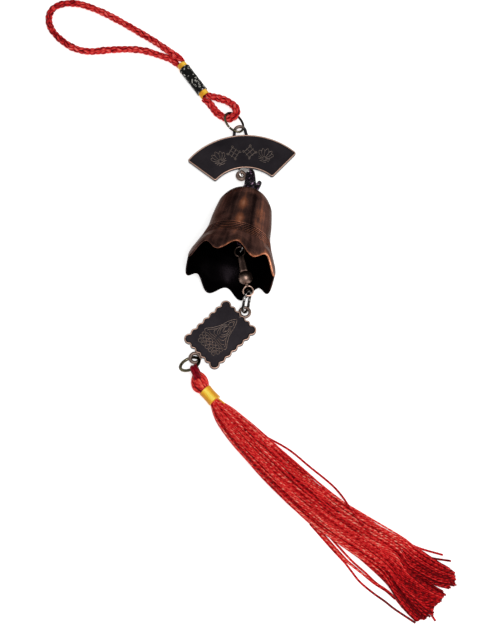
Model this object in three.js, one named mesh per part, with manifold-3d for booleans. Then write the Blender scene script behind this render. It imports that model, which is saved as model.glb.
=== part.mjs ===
import * as THREE from "three";
import { mergeVertices } from "three/addons/utils/BufferGeometryUtils.js";
import Module from "manifold-3d";

// A coin bell hanger: a bound hanging loop, a fan-shaped plate, a petalled bell on a satin cord with
// its clapper, a scalloped plate and a long tassel, joined one to the next by rings and links.
// Millimetres, +Z up. The hanger lies on a table at z = 0, with its hanging loop towards +Y.
// Headings are degrees in the table's plane from -Y towards +X. A climb is degrees up from the table.

// Cords
const SEAT = 0.3;
const LOOP_CORD = 3.0;
const LOWER_CORD = 2.9;
const SATIN_CORD = 1.6;
const CLAPPER_CORD = 1.3;
const TASSEL_CORD = 1.8;

// Binding of the hanging loop
const BINDING_CENTRE = new THREE.Vector3(-49.05, 113.1, 2.85);
const BINDING_HEADING = 35;
const WINDING_LENGTH = 14.2;
const WINDING_TURNS = 10;
const THREAD = 0.62;
const COLLAR_THREAD = 0.75;
const BAND_LENGTH = 2.2;
const BAND_WALL = 0.4;
const CORE_RADIUS = 1.6;
const STRAND_SPREAD = 1.1;
const STRAND_STEP = 1.2;

// Wires of rings, links and ears
const RING_WIRE = 0.85;
const TOP_RING_RADIUS = 4.9;
const TAG_RING_RADIUS = 4.2;
const LINK_WIRE = 0.74;
const LINK_WIDTH = 3.7;
const LOWER_LINK_WIDTH = 4.1;
const BACK_LINK_LENGTH = 5.3;
const INNER_LINK_LENGTH = 5.0;
const LOWER_LINK_LENGTH = 9.2;
const EAR_WIRE = 0.7;
const EAR_RADIUS = 2.1;
const FAN_EAR_WIRE = 1.0;
const FAN_EAR_RADIUS = 2.4;
const LUG_WIDTH = 2.4;
const LUG_BITE = 0.6;

// Plates
const PLATE_THICKNESS = 1.6;
const RIM_WIDTH = 0.9;
const PANEL_DEPTH = 0.4;
const FAN_OUTER = 32.4;
const FAN_INNER = 16.7;
const FAN_HALF_ANGLE = 46.6;
const FAN_CORNER = 0.8;
const FAN_EAR_REACH = 1.9;
const FAN_LOWER_EAR_REACH = 2.65;
const FAN_LOWER_EAR_SIDE = -0.8;
const TAG_LOBE = 1.9;
const TAG_LOBE_WIDTH = 15.6;
const TAG_LOBE_LENGTH = 21.6;
const TAG_SCALLOP = 1.55;
const TAG_SIDE_SCALLOPS = 5;
const TAG_END_SCALLOPS = 4;
const TAG_EAR_SPAN = 28.4;

// Bell
const BELL_LENGTH = 42.2;
const BELL_WALL = 1.1;
const BELL_MOUTH = 19.0;
const MOUTH_LIFT = 0.67;
const BELL_WAIST = 13.2;
const BELL_SHOULDER = 11.4;
const BELL_HOLE = 2.0;
const PETALS = 8;
const PETAL_STEPS = 6;
const PETAL_DEPTH = 5.0;
const PETAL_FLUTE = 0.6;
const PETAL_TURN = 17;

// Satin cord, knots and clapper
const SATIN_LOOP_WIDTH = 3.5;
const SATIN_LOOP_OVERHANG = 1.9;
const KNOT_RADIUS = 2.7;
const KNOT_FLATNESS = 0.9;
const STOP_KNOT_RADIUS = 2.6;
const STOP_KNOT_FLATNESS = 0.6;
const NECK_RADIUS = 1.6;
const TAIL_LENGTH = 6.0;
const CLAPPER_CORD_WIDTH = 3.1;
const CLAPPER_CORD_DROP = 2.81;
const EYE_PAST_MOUTH = 1.65;
const CLAPPER_LENGTH = 17.4;
const BALL_RADIUS = 3.0;
const BALL_PLACE = 11.6;
const STEM_TOP_WIDTH = 2.6;
const STEM_END_WIDTH = 3.3;
const STEM_THICKNESS = 1.2;

// Tassel
const TASSEL_LOOP_LENGTH = 7.0;
const TASSEL_LOOP_WIDTH = 3.6;
const HEAD_RADIUS = 3.7;
const HEAD_LENGTH = 8.6;
const NECK_YARN_RADIUS = 2.0;
const TASSEL_WINDING_LENGTH = 5.9;
const TASSEL_WINDING_TURNS = 4.5;
const HEAD_FLATNESS = 0.82;
const HEAD_TURN = 13;
const SKIRT_LIFT = 0.1;
const LOCK_HALF_WIDTH = 2.3;
const LOCK_THICKNESS = 3.2;
const NECK_SIDE = 4.4;
const NECK_DROP = 8.55;
const NECK_HEIGHT = 3.15;
const TASSEL_LOCKS = [
  [[86.6, -70.3], [98.9, -75.6]],
  [[85.4, -72.6], [98.8, -79.6]],
  [[83.6, -75.1], [94.4, -84.4]],
  [[81.6, -77.1], [91.4, -88.0]],
  [[79.4, -79.1], [90.0, -91.4]],
  [[77.0, -80.6], [85.6, -92.4]],
];

// Where the chain of pieces starts, and how each piece lies on the table
const RING_START = new THREE.Vector3(-33.4, 96.2, 4.35);
const BELL_POLE = new THREE.Vector3(-24.6, 55.7, 9.45);
const TOP_RING_LIE = { heading: 31, climb: -8, roll: 38 };
const FAN_LIE = { heading: 4.3, climb: 0, roll: 0 };
const BACK_LINK_LIE = { heading: 69, climb: -2, roll: -55 };
const SATIN_ROLL = 8;
const BELL_HEADING = -11;
const CLAPPER_CORD_HEADING = -9.2;
const CLAPPER_CORD_ROLL = 40;
const INNER_LINK_LIE = { heading: -2, climb: -6, roll: -50 };
const CLAPPER_LIE = { heading: 12, climb: -5, roll: 0 };
const LOWER_LINK_LIE = { heading: -10.5, climb: -27.6, roll: 64 };
const TAG_LIE = { heading: -45.9, climb: 0, roll: 0 };
const TAG_RING_LIE = { heading: -34.5, climb: 20, roll: -38 };
const TAG_RING_EXIT = -27;
const TASSEL_LOOP_LIE = { heading: 26, climb: -27, roll: 75 };
const TASSEL_LIE = { heading: 39, climb: -1, roll: 0 };

const wasm = await Module();
wasm.setup();

const hanger = new THREE.Group();
hanger.name = "coin_bell_hanger";

// Colours, to tell the pieces apart by their stuff
function finish(colour, roughness, metalness) {
  return new THREE.MeshStandardMaterial({ color: colour, roughness, metalness });
}
const RED_CORD = finish(0xc8302a, 0.7, 0);
const DARK_CORD = finish(0x8e1020, 0.7, 0);
const SATIN = finish(0x1d1424, 0.35, 0);
const YELLOW_THREAD = finish(0xe9b83f, 0.5, 0);
const BLACK_THREAD = finish(0x1b1b1c, 0.5, 0.2);
const PLATE_METAL = finish(0x4a3b38, 0.45, 1);
const BELL_METAL = finish(0x5a3024, 0.4, 1);
const RING_METAL = finish(0x6b6650, 0.4, 1);
const LINK_METAL = finish(0xa9a9a6, 0.3, 1);

// A frame for a piece: its -Y runs along the way it lies, its X to the right of that, +Z up
function lie({ heading, climb, roll }) {
  return new THREE.Quaternion()
    .setFromAxisAngle(new THREE.Vector3(0, 0, 1), THREE.MathUtils.degToRad(heading))
    .multiply(new THREE.Quaternion().setFromAxisAngle(
      new THREE.Vector3(1, 0, 0), THREE.MathUtils.degToRad(-climb)))
    .multiply(new THREE.Quaternion().setFromAxisAngle(
      new THREE.Vector3(0, 1, 0), THREE.MathUtils.degToRad(roll)));
}

// A group at a point, lying as said; at() gives a local point's place in the hanger
function placed(origin, lying) {
  const group = new THREE.Group();
  group.position.copy(origin);
  group.quaternion.copy(lie(lying));
  hanger.add(group);
  group.at = (x, y, z = 0) =>
    new THREE.Vector3(x, y, z).applyQuaternion(group.quaternion).add(group.position);
  return group;
}

// A group at one point with its -Y towards another
function laid(from, to, roll) {
  const way = to.clone().sub(from).normalize();
  return placed(from, {
    heading: THREE.MathUtils.radToDeg(Math.atan2(way.x, -way.y)),
    climb: THREE.MathUtils.radToDeg(Math.asin(way.z)),
    roll,
  });
}

// A shape made in one group's frame, moved to lie the same in another's
function toFrame(geometry, from, to) {
  geometry.applyQuaternion(from.quaternion).translate(...from.position.clone().sub(to.position));
  return geometry.applyQuaternion(to.quaternion.clone().invert());
}

function piece(name, geometry, material, parent = hanger) {
  const mesh = new THREE.Mesh(geometry, material);
  mesh.name = name;
  parent.add(mesh);
  return mesh;
}

// Booleans
function solid(geometry) {
  const bare = geometry.index ? geometry.clone() : geometry;
  bare.deleteAttribute("normal");
  bare.deleteAttribute("uv");
  const merged = mergeVertices(bare, 1e-4);
  return new wasm.Manifold(new wasm.Mesh({
    numProp: 3,
    vertProperties: Float32Array.from(merged.attributes.position.array),
    triVerts: Uint32Array.from(merged.index.array),
  }));
}

function shapeOf(manifold) {
  const { vertProperties, triVerts } = manifold.getMesh();
  const geometry = new THREE.BufferGeometry();
  geometry.setAttribute("position", new THREE.BufferAttribute(vertProperties, 3));
  geometry.setIndex(new THREE.BufferAttribute(triVerts, 1));
  return geometry;
}

function joined(...geometries) {
  return shapeOf(geometries.map(solid).reduce((all, next) => all.add(next)));
}

// A closed surface through rings of points: capped at both ends, or closed into a loop
function loft(rings, looped = false) {
  const count = rings[0].length;
  const points = rings.flat();
  const faces = [];
  const last = looped ? rings.length : rings.length - 1;
  for (let i = 0; i < last; i++) {
    const a = i * count;
    const b = ((i + 1) % rings.length) * count;
    for (let j = 0; j < count; j++) {
      const k = (j + 1) % count;
      faces.push(a + j, a + k, b + k, a + j, b + k, b + j);
    }
  }
  if (!looped) {
    for (const [ring, start, turn] of [[rings[0], 0, -1], [rings.at(-1), (rings.length - 1) * count, 1]]) {
      const centre = ring.reduce((sum, p) => sum.add(p), new THREE.Vector3()).divideScalar(count);
      points.push(centre);
      for (let j = 0; j < count; j++) {
        const k = (j + 1) % count;
        faces.push(points.length - 1, start + (turn > 0 ? j : k), start + (turn > 0 ? k : j));
      }
    }
  }
  let volume = 0;
  for (let i = 0; i < faces.length; i += 3) {
    const [p, q, r] = [points[faces[i]], points[faces[i + 1]], points[faces[i + 2]]];
    volume += p.dot(q.clone().cross(r));
  }
  if (volume < 0) {
    faces.reverse();
  }
  const geometry = new THREE.BufferGeometry().setFromPoints(points);
  geometry.setIndex(faces);
  return geometry;
}

// A wire bent into a closed flat loop in the XY plane, along points that go round it
function wireLoop(points, wire, sides) {
  const rings = points.map((point, i) => {
    const before = points.at(i - 1);
    const after = points[(i + 1) % points.length];
    const out = new THREE.Vector3(after.y - before.y, before.x - after.x, 0).normalize();
    return Array.from({ length: sides }, (_, j) => {
      const turn = (2 * Math.PI * j) / sides;
      return point.clone()
        .addScaledVector(out, (wire / 2) * Math.cos(turn))
        .add(new THREE.Vector3(0, 0, (wire / 2) * Math.sin(turn)));
    });
  });
  return loft(rings, true);
}

// The middle line of an oval link whose upper end lies at the origin and whose long axis runs along -Y
function ovalLine(length, width, steps) {
  const radius = width / 2;
  const points = [];
  for (const [middle, start] of [[-radius, 0], [radius - length, Math.PI]]) {
    for (let i = 0; i <= steps; i++) {
      const turn = start + (Math.PI * i) / steps;
      points.push(new THREE.Vector3(radius * Math.cos(turn), middle + radius * Math.sin(turn), 0));
    }
  }
  return points;
}

function circleLine(radius, steps, middle = -radius) {
  return Array.from({ length: steps }, (_, i) => {
    const turn = (2 * Math.PI * i) / steps;
    return new THREE.Vector3(radius * Math.cos(turn), middle + radius * Math.sin(turn), 0);
  });
}

function ear(radius, wire, y, x = 0) {
  return wireLoop(circleLine(radius, 18, 0), wire, 6).translate(x, y, 0);
}

// An ear whose foot is a lug that bites into a plate's edge: way is 1 for a plate on its +Y side, and
// reach is how far the edge is from the ear's middle
function footedEar(y, way, reach, x = 0) {
  const lugLength = reach - EAR_RADIUS + LUG_BITE;
  const lug = new THREE.BoxGeometry(LUG_WIDTH, lugLength, EAR_WIRE)
    .translate(x, y + way * (EAR_RADIUS + lugLength / 2), 0);
  return solid(ear(EAR_RADIUS, EAR_WIRE, y, x)).add(solid(lug));
}

// A cord along a curve, with flat ends
function cordAlong(points, diameter, sides, steps) {
  const section = new THREE.Shape(Array.from({ length: sides }, (_, i) => {
    const turn = (2 * Math.PI * (i + 0.5)) / sides;
    return new THREE.Vector2(diameter / 2 * Math.cos(turn), diameter / 2 * Math.sin(turn));
  }));
  const path = new THREE.CatmullRomCurve3(points, false, "centripetal");
  return new THREE.ExtrudeGeometry(section, { steps, bevelEnabled: false, extrudePath: path });
}

// A thread wound round the Y axis between two places, with straight ends; prints its least gap to itself
function winding(name, radius, from, to, turns, thread, sides = 6, steps = 24) {
  const points = [];
  const total = turns * steps;
  for (let i = 0; i <= total; i++) {
    const turn = (2 * Math.PI * i) / steps;
    const y = from + ((to - from) * i) / total;
    points.push(new THREE.Vector3(radius * Math.cos(turn), y, radius * Math.sin(turn)));
  }
  const lead = (end, next) => end.clone().addScaledVector(end.clone().sub(next).setY(0).normalize(), thread);
  points.unshift(lead(points[0], points[1]));
  points.push(lead(points.at(-1), points.at(-2)));
  let gap = Infinity;
  for (let i = 0; i < points.length; i++) {
    for (let j = i + steps / 2; j < points.length; j++) {
      gap = Math.min(gap, points[i].distanceTo(points[j]) - thread);
    }
  }
  console.log(`${name}: least gap to itself ${gap.toFixed(2)} mm`);
  const axis = new THREE.Vector3(0, 1, 0);
  const rings = points.map((point, i) => {
    const ahead = points[Math.min(i + 1, points.length - 1)];
    const behind = points[Math.max(i - 1, 0)];
    const way = ahead.clone().sub(behind).normalize();
    const across = axis.clone().cross(way).normalize();
    const up = way.clone().cross(across);
    return Array.from({ length: sides }, (_, j) => {
      const turn = (2 * Math.PI * j) / sides;
      return point.clone()
        .addScaledVector(across, (thread / 2) * Math.cos(turn))
        .addScaledVector(up, (thread / 2) * Math.sin(turn));
    });
  });
  return loft(rings);
}

function sleeve(inner, outer, from, to) {
  const profile = [[inner, from], [outer, from], [outer, to], [inner, to], [inner, from]];
  return new THREE.LatheGeometry(profile.map(([r, y]) => new THREE.Vector2(r, y)), 20);
}

// Binding: a core of the four strands, with yellow bands, collars and black thread round it
const bindingLength = WINDING_LENGTH + 2 * BAND_LENGTH + 2 * SEAT;
const bindingGroup = placed(BINDING_CENTRE, { heading: BINDING_HEADING, climb: 0, roll: 0 });
const bandTop = bindingLength / 2;
const bandInner = CORE_RADIUS + SEAT;
const windingTop = WINDING_LENGTH / 2;
piece("binding_core", new THREE.CylinderGeometry(CORE_RADIUS, CORE_RADIUS, bindingLength, 16),
  RED_CORD, bindingGroup);
piece("upper_yellow_band", sleeve(bandInner, bandInner + BAND_WALL, bandTop - BAND_LENGTH, bandTop),
  YELLOW_THREAD, bindingGroup);
piece("lower_yellow_band", sleeve(bandInner, bandInner + BAND_WALL, -bandTop, BAND_LENGTH - bandTop),
  YELLOW_THREAD, bindingGroup);
for (const [name, side] of [["upper_collar", 1], ["lower_collar", -1]]) {
  const collar = new THREE.TorusGeometry(bandInner + COLLAR_THREAD / 2, COLLAR_THREAD / 2, 8, 20);
  piece(name, collar.rotateX(Math.PI / 2).translate(0, side * (windingTop - COLLAR_THREAD / 2), 0),
    BLACK_THREAD, bindingGroup);
}
const turnsTop = windingTop - COLLAR_THREAD - SEAT - THREAD / 2;
piece("black_thread_winding", winding("black thread", bandInner + THREAD / 2, turnsTop, -turnsTop,
  WINDING_TURNS, THREAD), BLACK_THREAD, bindingGroup);

// Hanging loop and lower loop: both ends of each lie aslant, one over the other, against the binding
function loopOfCord(end, away, points) {
  const face = end * (bandTop + SEAT);
  const straight = end * (bandTop + SEAT + away);
  const [side, step] = [STRAND_SPREAD, STRAND_STEP];
  return [
    bindingGroup.at(-side, face, -step), bindingGroup.at(-side, straight, -step),
    ...points.map(([x, y, z]) => new THREE.Vector3(x, y, z)),
    bindingGroup.at(side, straight, step), bindingGroup.at(side, face, step),
  ];
}

const hangingRoute = loopOfCord(1, 1.2, [
  [-59.7, 123.7, 1.6], [-64.2, 125.9, 1.6], [-70.9, 128.4, 1.6], [-77.6, 129.2, 1.6], [-86.6, 128.9, 1.6],
  [-95.5, 128.1, 1.6], [-102.2, 129.6, 1.6], [-108.2, 133.6, 1.6], [-112.9, 139.0, 1.6],
  [-114.6, 144.8, 1.6], [-112.9, 149.9, 1.6], [-108.0, 152.4, 1.6], [-101.0, 152.2, 1.6],
  [-91.7, 148.6, 1.6], [-82.5, 143.4, 1.6], [-73.4, 137.5, 1.8], [-66.5, 132.7, 2.4], [-60.2, 127.9, 3.3],
]);
piece("hanging_cord_loop", cordAlong(hangingRoute, LOOP_CORD, 8, 48), RED_CORD);

const lowerRoute = loopOfCord(-1, 0.8, [
  [-42.0, 102.6, 1.6], [-40.3, 100.1, 1.6], [-37.9, 97.1, 1.7], [-34.8, 94.9, 2.35], [-32.4, 94.4, 3.05],
  [-30.3, 95.5, 4.4], [-30.0, 97.9, 4.4], [-31.6, 100.4, 4.1], [-35.0, 102.6, 4.1], [-38.9, 103.9, 4.1],
]);
piece("lower_cord_loop", cordAlong(lowerRoute, LOWER_CORD, 8, 30), RED_CORD);

// Top ring, from the lower cord loop to the fan plate
function ring(name, start, lying, radius) {
  const group = placed(start, lying);
  piece(name, wireLoop(circleLine(radius, 28), RING_WIRE, 6), RING_METAL, group);
  return group;
}

function link(name, start, lying, length, width = LINK_WIDTH) {
  const group = placed(start, lying);
  piece(name, wireLoop(ovalLine(length, width, 9), LINK_WIRE, 6), LINK_METAL, group);
  return group;
}

const topRing = ring("top_ring", RING_START, TOP_RING_LIE, TOP_RING_RADIUS);

// Fan plate: a sector with a raised rim, an arched ear above and a smaller one below
function sector(outer, inner, halfAngle, corner) {
  const cornerAngle = corner / outer;
  const innerAngle = corner / inner;
  const half = THREE.MathUtils.degToRad(halfAngle);
  const up = Math.PI / 2;
  const point = (radius, turn) => [radius * Math.cos(up + turn), radius * Math.sin(up + turn)];
  const shape = new THREE.Shape();
  shape.absarc(0, 0, outer, up - half + cornerAngle, up + half - cornerAngle, false);
  shape.quadraticCurveTo(...point(outer, half), ...point(outer - corner, half));
  shape.lineTo(...point(inner + corner, half));
  shape.quadraticCurveTo(...point(inner, half), ...point(inner, half - innerAngle));
  shape.absarc(0, 0, inner, up + half - innerAngle, up - half + innerAngle, true);
  shape.quadraticCurveTo(...point(inner, -half), ...point(inner + corner, -half));
  shape.lineTo(...point(outer - corner, -half));
  shape.quadraticCurveTo(...point(outer, -half), ...point(outer, cornerAngle - half));
  return shape;
}

function slab(shape, bottom, top, curveSegments) {
  const geometry = new THREE.ExtrudeGeometry(shape, { depth: top - bottom, bevelEnabled: false, curveSegments });
  return geometry.translate(0, 0, bottom);
}

const faceTop = PLATE_THICKNESS / 2;
const fanGroup = placed(topRing.at(0, -2 * TOP_RING_RADIUS), FAN_LIE);
const fanMiddle = -(FAN_OUTER + FAN_EAR_REACH);
const fanLowerEar = [FAN_LOWER_EAR_SIDE, fanMiddle + FAN_INNER - FAN_LOWER_EAR_REACH];
const fanBody = solid(slab(sector(FAN_OUTER, FAN_INNER, FAN_HALF_ANGLE, FAN_CORNER), -faceTop, faceTop, 12)
  .translate(0, fanMiddle, 0));
const panelAngle = FAN_HALF_ANGLE - THREE.MathUtils.radToDeg(RIM_WIDTH / ((FAN_OUTER + FAN_INNER) / 2));
const fanPanel = solid(slab(
  sector(FAN_OUTER - RIM_WIDTH, FAN_INNER + RIM_WIDTH, panelAngle, FAN_CORNER),
  faceTop - PANEL_DEPTH, faceTop + SEAT, 12).translate(0, fanMiddle, 0));
const fanEars = solid(ear(FAN_EAR_RADIUS, FAN_EAR_WIRE, 0))
  .add(footedEar(fanLowerEar[1], 1, FAN_LOWER_EAR_REACH, fanLowerEar[0]));
piece("fan_plate", shapeOf(fanBody.subtract(fanPanel).add(fanEars)), PLATE_METAL, fanGroup);

// Link from the fan plate to the satin cord
const backLink = link("back_link", fanGroup.at(...fanLowerEar), BACK_LINK_LIE, BACK_LINK_LENGTH);

// Satin cord: a loop through the link, a knot on the bell's crown with its tail, a neck through the
// crown's hole and a stop knot inside that carries the bell, whose mouth lies on the table
const slant = Math.asin((BELL_POLE.z - MOUTH_LIFT) / Math.hypot(BELL_LENGTH, BELL_MOUTH));
const bellGroup = placed(BELL_POLE, {
  heading: BELL_HEADING,
  climb: THREE.MathUtils.radToDeg(Math.atan2(BELL_MOUTH, BELL_LENGTH) - slant),
  roll: 0,
});
const knotHeight = SEAT + KNOT_RADIUS * KNOT_FLATNESS;
const satinHold = backLink.at(0, -BACK_LINK_LENGTH);
const satinGroup = laid(satinHold, bellGroup.at(0, knotHeight), SATIN_ROLL);
const satinLength = satinHold.distanceTo(bellGroup.at(0, knotHeight)) + SATIN_LOOP_OVERHANG;
const satinLoop = toFrame(wireLoop(
  ovalLine(satinLength, SATIN_LOOP_WIDTH, 10).map((p) => p.setY(p.y + SATIN_LOOP_OVERHANG)),
  SATIN_CORD, 8), satinGroup, bellGroup);
const knot = new THREE.SphereGeometry(KNOT_RADIUS, 16, 12).scale(1, KNOT_FLATNESS, 1)
  .translate(0, knotHeight, 0);
const stopKnotPlace = -(BELL_WALL + SEAT + STOP_KNOT_RADIUS * STOP_KNOT_FLATNESS);
const neck = new THREE.CylinderGeometry(NECK_RADIUS, NECK_RADIUS, knotHeight - stopKnotPlace, 12)
  .translate(0, (knotHeight + stopKnotPlace) / 2, 0);
const stopKnot = new THREE.SphereGeometry(STOP_KNOT_RADIUS, 16, 12).scale(1, STOP_KNOT_FLATNESS, 1)
  .translate(0, stopKnotPlace, 0);
const tail = cordAlong([new THREE.Vector3(1.2, knotHeight - 0.8, 1.0),
  new THREE.Vector3(2.9, knotHeight - 1.0, 1.5),
  new THREE.Vector3(4.2, knotHeight - 1.0 + TAIL_LENGTH / 2, 1.5)], SATIN_CORD, 8, 8);
piece("satin_cord", joined(satinLoop, knot, neck, stopKnot, tail), SATIN, bellGroup);

// Bell: one cast wall from the crown's hole down to eight petals and up again inside
const bellProfile = [[0, 4.0], [0.05, 7.8], [0.1, 9.6], [0.18, BELL_SHOULDER], [0.27, 12.1], [0.38, 12.8],
  [0.5, BELL_WAIST], [0.58, 13.8], [0.68, 15.0], [0.77, 16.6], [0.87, 18.0], [1, BELL_MOUTH]];

function bellRadius(share) {
  const next = Math.max(1, bellProfile.findIndex(([place]) => place >= share));
  const [[a, ra], [b, rb]] = [bellProfile[next - 1], bellProfile[next]];
  return ra + ((rb - ra) * (share - a)) / (b - a);
}

function bellRing(share, depth, radius) {
  const flare = THREE.MathUtils.smoothstep(share, 0.6, 1);
  const count = PETALS * PETAL_STEPS;
  return Array.from({ length: count }, (_, i) => {
    const turn = (2 * Math.PI * i) / count;
    const place = turn + THREE.MathUtils.degToRad(PETAL_TURN);
    const notch = flare * (0.5 - 0.5 * Math.cos(PETALS * turn));
    const out = radius - PETAL_FLUTE * notch;
    const down = depth + share * (BELL_LENGTH - depth) - PETAL_DEPTH * flare * notch;
    return new THREE.Vector3(out * Math.sin(place), -down, -out * Math.cos(place));
  });
}

const bellShares = bellProfile.map(([share]) => share);
piece("bell_shell", loft([
  bellRing(0, 0, BELL_HOLE),
  ...bellShares.map((share) => bellRing(share, 0, bellRadius(share))),
  ...bellShares.map((share) => bellRing(share, BELL_WALL, bellRadius(share) - BELL_WALL)).reverse(),
  bellRing(0, BELL_WALL, BELL_HOLE),
], true), BELL_METAL, bellGroup);

// Clapper: a doubled cord from the stop knot, a link, and a cast stem with a ball and an eye at each end.
// The cord is as long as it takes to hang the clapper's lower eye just past the bell's mouth
const clapperStart = stopKnotPlace - STOP_KNOT_RADIUS * STOP_KNOT_FLATNESS - SEAT - CLAPPER_CORD / 2;
const linkHold = CLAPPER_CORD / 2 + LINK_WIRE / 2 + 2 * SEAT;
const clapperCordLength = BELL_LENGTH + EYE_PAST_MOUTH + clapperStart + linkHold - INNER_LINK_LENGTH
  - CLAPPER_LENGTH;
const clapperCord = placed(bellGroup.at(0, clapperStart), {
  heading: CLAPPER_CORD_HEADING,
  climb: -THREE.MathUtils.radToDeg(Math.asin(CLAPPER_CORD_DROP / clapperCordLength)),
  roll: CLAPPER_CORD_ROLL,
});
piece("clapper_cord", wireLoop(ovalLine(clapperCordLength, CLAPPER_CORD_WIDTH, 8), CLAPPER_CORD, 8),
  SATIN, clapperCord);
const innerLinkStart = linkHold - clapperCordLength;
const innerLink = link("inner_link", clapperCord.at(0, innerLinkStart), INNER_LINK_LIE, INNER_LINK_LENGTH);
const clapperGroup = placed(innerLink.at(0, -INNER_LINK_LENGTH), CLAPPER_LIE);
const stemTop = -(EAR_RADIUS);
const stemEnd = -BALL_PLACE;
const stemShape = new THREE.Shape();
stemShape.moveTo(-STEM_TOP_WIDTH / 2, stemTop);
stemShape.lineTo(STEM_TOP_WIDTH / 2, stemTop);
stemShape.lineTo(STEM_END_WIDTH / 2, stemEnd);
stemShape.lineTo(-STEM_END_WIDTH / 2, stemEnd);
const stem = slab(stemShape, -STEM_THICKNESS / 2, STEM_THICKNESS / 2, 1);
const ball = new THREE.SphereGeometry(BALL_RADIUS, 16, 12).rotateX(Math.PI / 2).translate(0, -BALL_PLACE, 0);
const eyeNeck = new THREE.CylinderGeometry(0.7, 0.7, CLAPPER_LENGTH - BALL_PLACE - EAR_RADIUS, 10)
  .translate(0, -(CLAPPER_LENGTH - EAR_RADIUS + BALL_PLACE) / 2, 0);
piece("clapper", joined(ear(EAR_RADIUS, EAR_WIRE, 0), stem, ball, eyeNeck,
  ear(EAR_RADIUS, EAR_WIRE, -CLAPPER_LENGTH)), BELL_METAL, clapperGroup);

// Link from the clapper to the tag plate
const lowerLink = link("lower_link", clapperGroup.at(0, -CLAPPER_LENGTH), LOWER_LINK_LIE, LOWER_LINK_LENGTH,
  LOWER_LINK_WIDTH);

// Tag plate: a scalloped oblong with a lobe at each corner, a raised rim and an ear at each end
function scallopedOutline(inset) {
  const points = [];
  const halfWidth = TAG_LOBE_WIDTH / 2;
  const halfLength = TAG_LOBE_LENGTH / 2;
  const corners = [[halfWidth, -halfLength], [halfWidth, halfLength], [-halfWidth, halfLength],
    [-halfWidth, -halfLength]];
  corners.forEach(([x, y], i) => {
    const [nextX, nextY] = corners[(i + 1) % 4];
    const way = Math.atan2(nextY - y, nextX - x);
    const lobe = TAG_LOBE - inset;
    for (let k = 0; k <= 6; k++) {
      const turn = way - Math.PI * (1.22 - (0.94 * k) / 6);
      points.push(new THREE.Vector2(x + lobe * Math.cos(turn), y + lobe * Math.sin(turn)));
    }
    const length = Math.hypot(nextX - x, nextY - y) - 2 * TAG_LOBE;
    const count = i % 2 === 0 ? TAG_SIDE_SCALLOPS : TAG_END_SCALLOPS;
    const pitch = length / count;
    for (let k = 0; k < count; k++) {
      for (const step of [0.12, 0.5, 0.88]) {
        const far = TAG_LOBE + (k + step) * pitch;
        const bulge = TAG_SCALLOP * 0.45 * Math.sin(Math.PI * step) + 0.25 - inset;
        points.push(new THREE.Vector2(
          x + far * Math.cos(way) + bulge * Math.sin(way),
          y + far * Math.sin(way) - bulge * Math.cos(way)));
      }
    }
  });
  return new THREE.Shape(points);
}

const tagGroup = placed(lowerLink.at(0, -LOWER_LINK_LENGTH), TAG_LIE);
const tagMiddle = -TAG_EAR_SPAN / 2;
const tagBody = solid(slab(scallopedOutline(0), -faceTop, faceTop, 1).translate(0, tagMiddle, 0));
const tagPanel = solid(slab(scallopedOutline(RIM_WIDTH), faceTop - PANEL_DEPTH, faceTop + SEAT, 1)
  .translate(0, tagMiddle, 0));
const tagEarReach = (TAG_EAR_SPAN - TAG_LOBE_LENGTH) / 2;
const tagEars = footedEar(0, -1, tagEarReach).add(footedEar(-TAG_EAR_SPAN, 1, tagEarReach));
piece("tag_plate", shapeOf(tagBody.subtract(tagPanel).add(tagEars)), PLATE_METAL, tagGroup);

// Ring from the tag plate to the tassel
const tagRing = ring("tag_ring", tagGroup.at(0, -TAG_EAR_SPAN), TAG_RING_LIE, TAG_RING_RADIUS);
const exitTurn = THREE.MathUtils.degToRad(TAG_RING_EXIT);
const tagRingExit = tagRing.at(TAG_RING_RADIUS * Math.cos(exitTurn),
  TAG_RING_RADIUS * (Math.sin(exitTurn) - 1));

// Tassel: a cord loop through the ring, a folded head cut to seat it, and a wound neck
const loopHold = TASSEL_CORD / 2 + RING_WIRE / 2 + SEAT;
const tasselLoop = placed(tagRingExit, TASSEL_LOOP_LIE);
const tasselLoopLine = ovalLine(TASSEL_LOOP_LENGTH, TASSEL_LOOP_WIDTH, 8).map((p) => p.setY(p.y + loopHold));
piece("tassel_hanger_loop", wireLoop(tasselLoopLine, TASSEL_CORD, 8), DARK_CORD, tasselLoop);

const headProfile = [[0.54, 0], [0.64, 0.07], [0.82, 0.2], [0.96, 0.38], [1, 0.56], [0.93, 0.76],
  [0.75, 0.9], [0.5, 0.97], [0, 1]];
const neckPlace = new THREE.Vector3(tagRingExit.x + NECK_SIDE, tagRingExit.y - NECK_DROP, NECK_HEIGHT);
const headGroup = placed(neckPlace, TASSEL_LIE);
const neckEnd = -(TASSEL_WINDING_LENGTH + 2 * SEAT);
const headSolid = solid(new THREE.LatheGeometry([
  new THREE.Vector2(0, neckEnd),
  new THREE.Vector2(NECK_YARN_RADIUS, neckEnd),
  new THREE.Vector2(NECK_YARN_RADIUS, -SEAT / 2),
  ...headProfile.map(([r, y]) => new THREE.Vector2(r * HEAD_RADIUS, HEAD_LENGTH * y)),
], 20));
const headBend = THREE.MathUtils.degToRad(HEAD_TURN);
const bentHead = headSolid.warp((point) => {
  const share = THREE.MathUtils.clamp(point[1] / HEAD_LENGTH, 0, 1);
  point[0] += Math.tan(headBend) * share * share * HEAD_LENGTH;
  point[2] *= HEAD_FLATNESS;
});
const seatCut = solid(toFrame(wireLoop(tasselLoopLine, TASSEL_CORD + 2 * SEAT, 8), tasselLoop, headGroup));
piece("tassel_head", shapeOf(bentHead.subtract(seatCut)), RED_CORD, headGroup);
piece("tassel_binding", winding("tassel binding", NECK_YARN_RADIUS + SEAT + THREAD / 2,
  -SEAT - THREAD / 2, SEAT + THREAD / 2 + neckEnd, TASSEL_WINDING_TURNS, THREAD), YELLOW_THREAD, headGroup);

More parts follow.
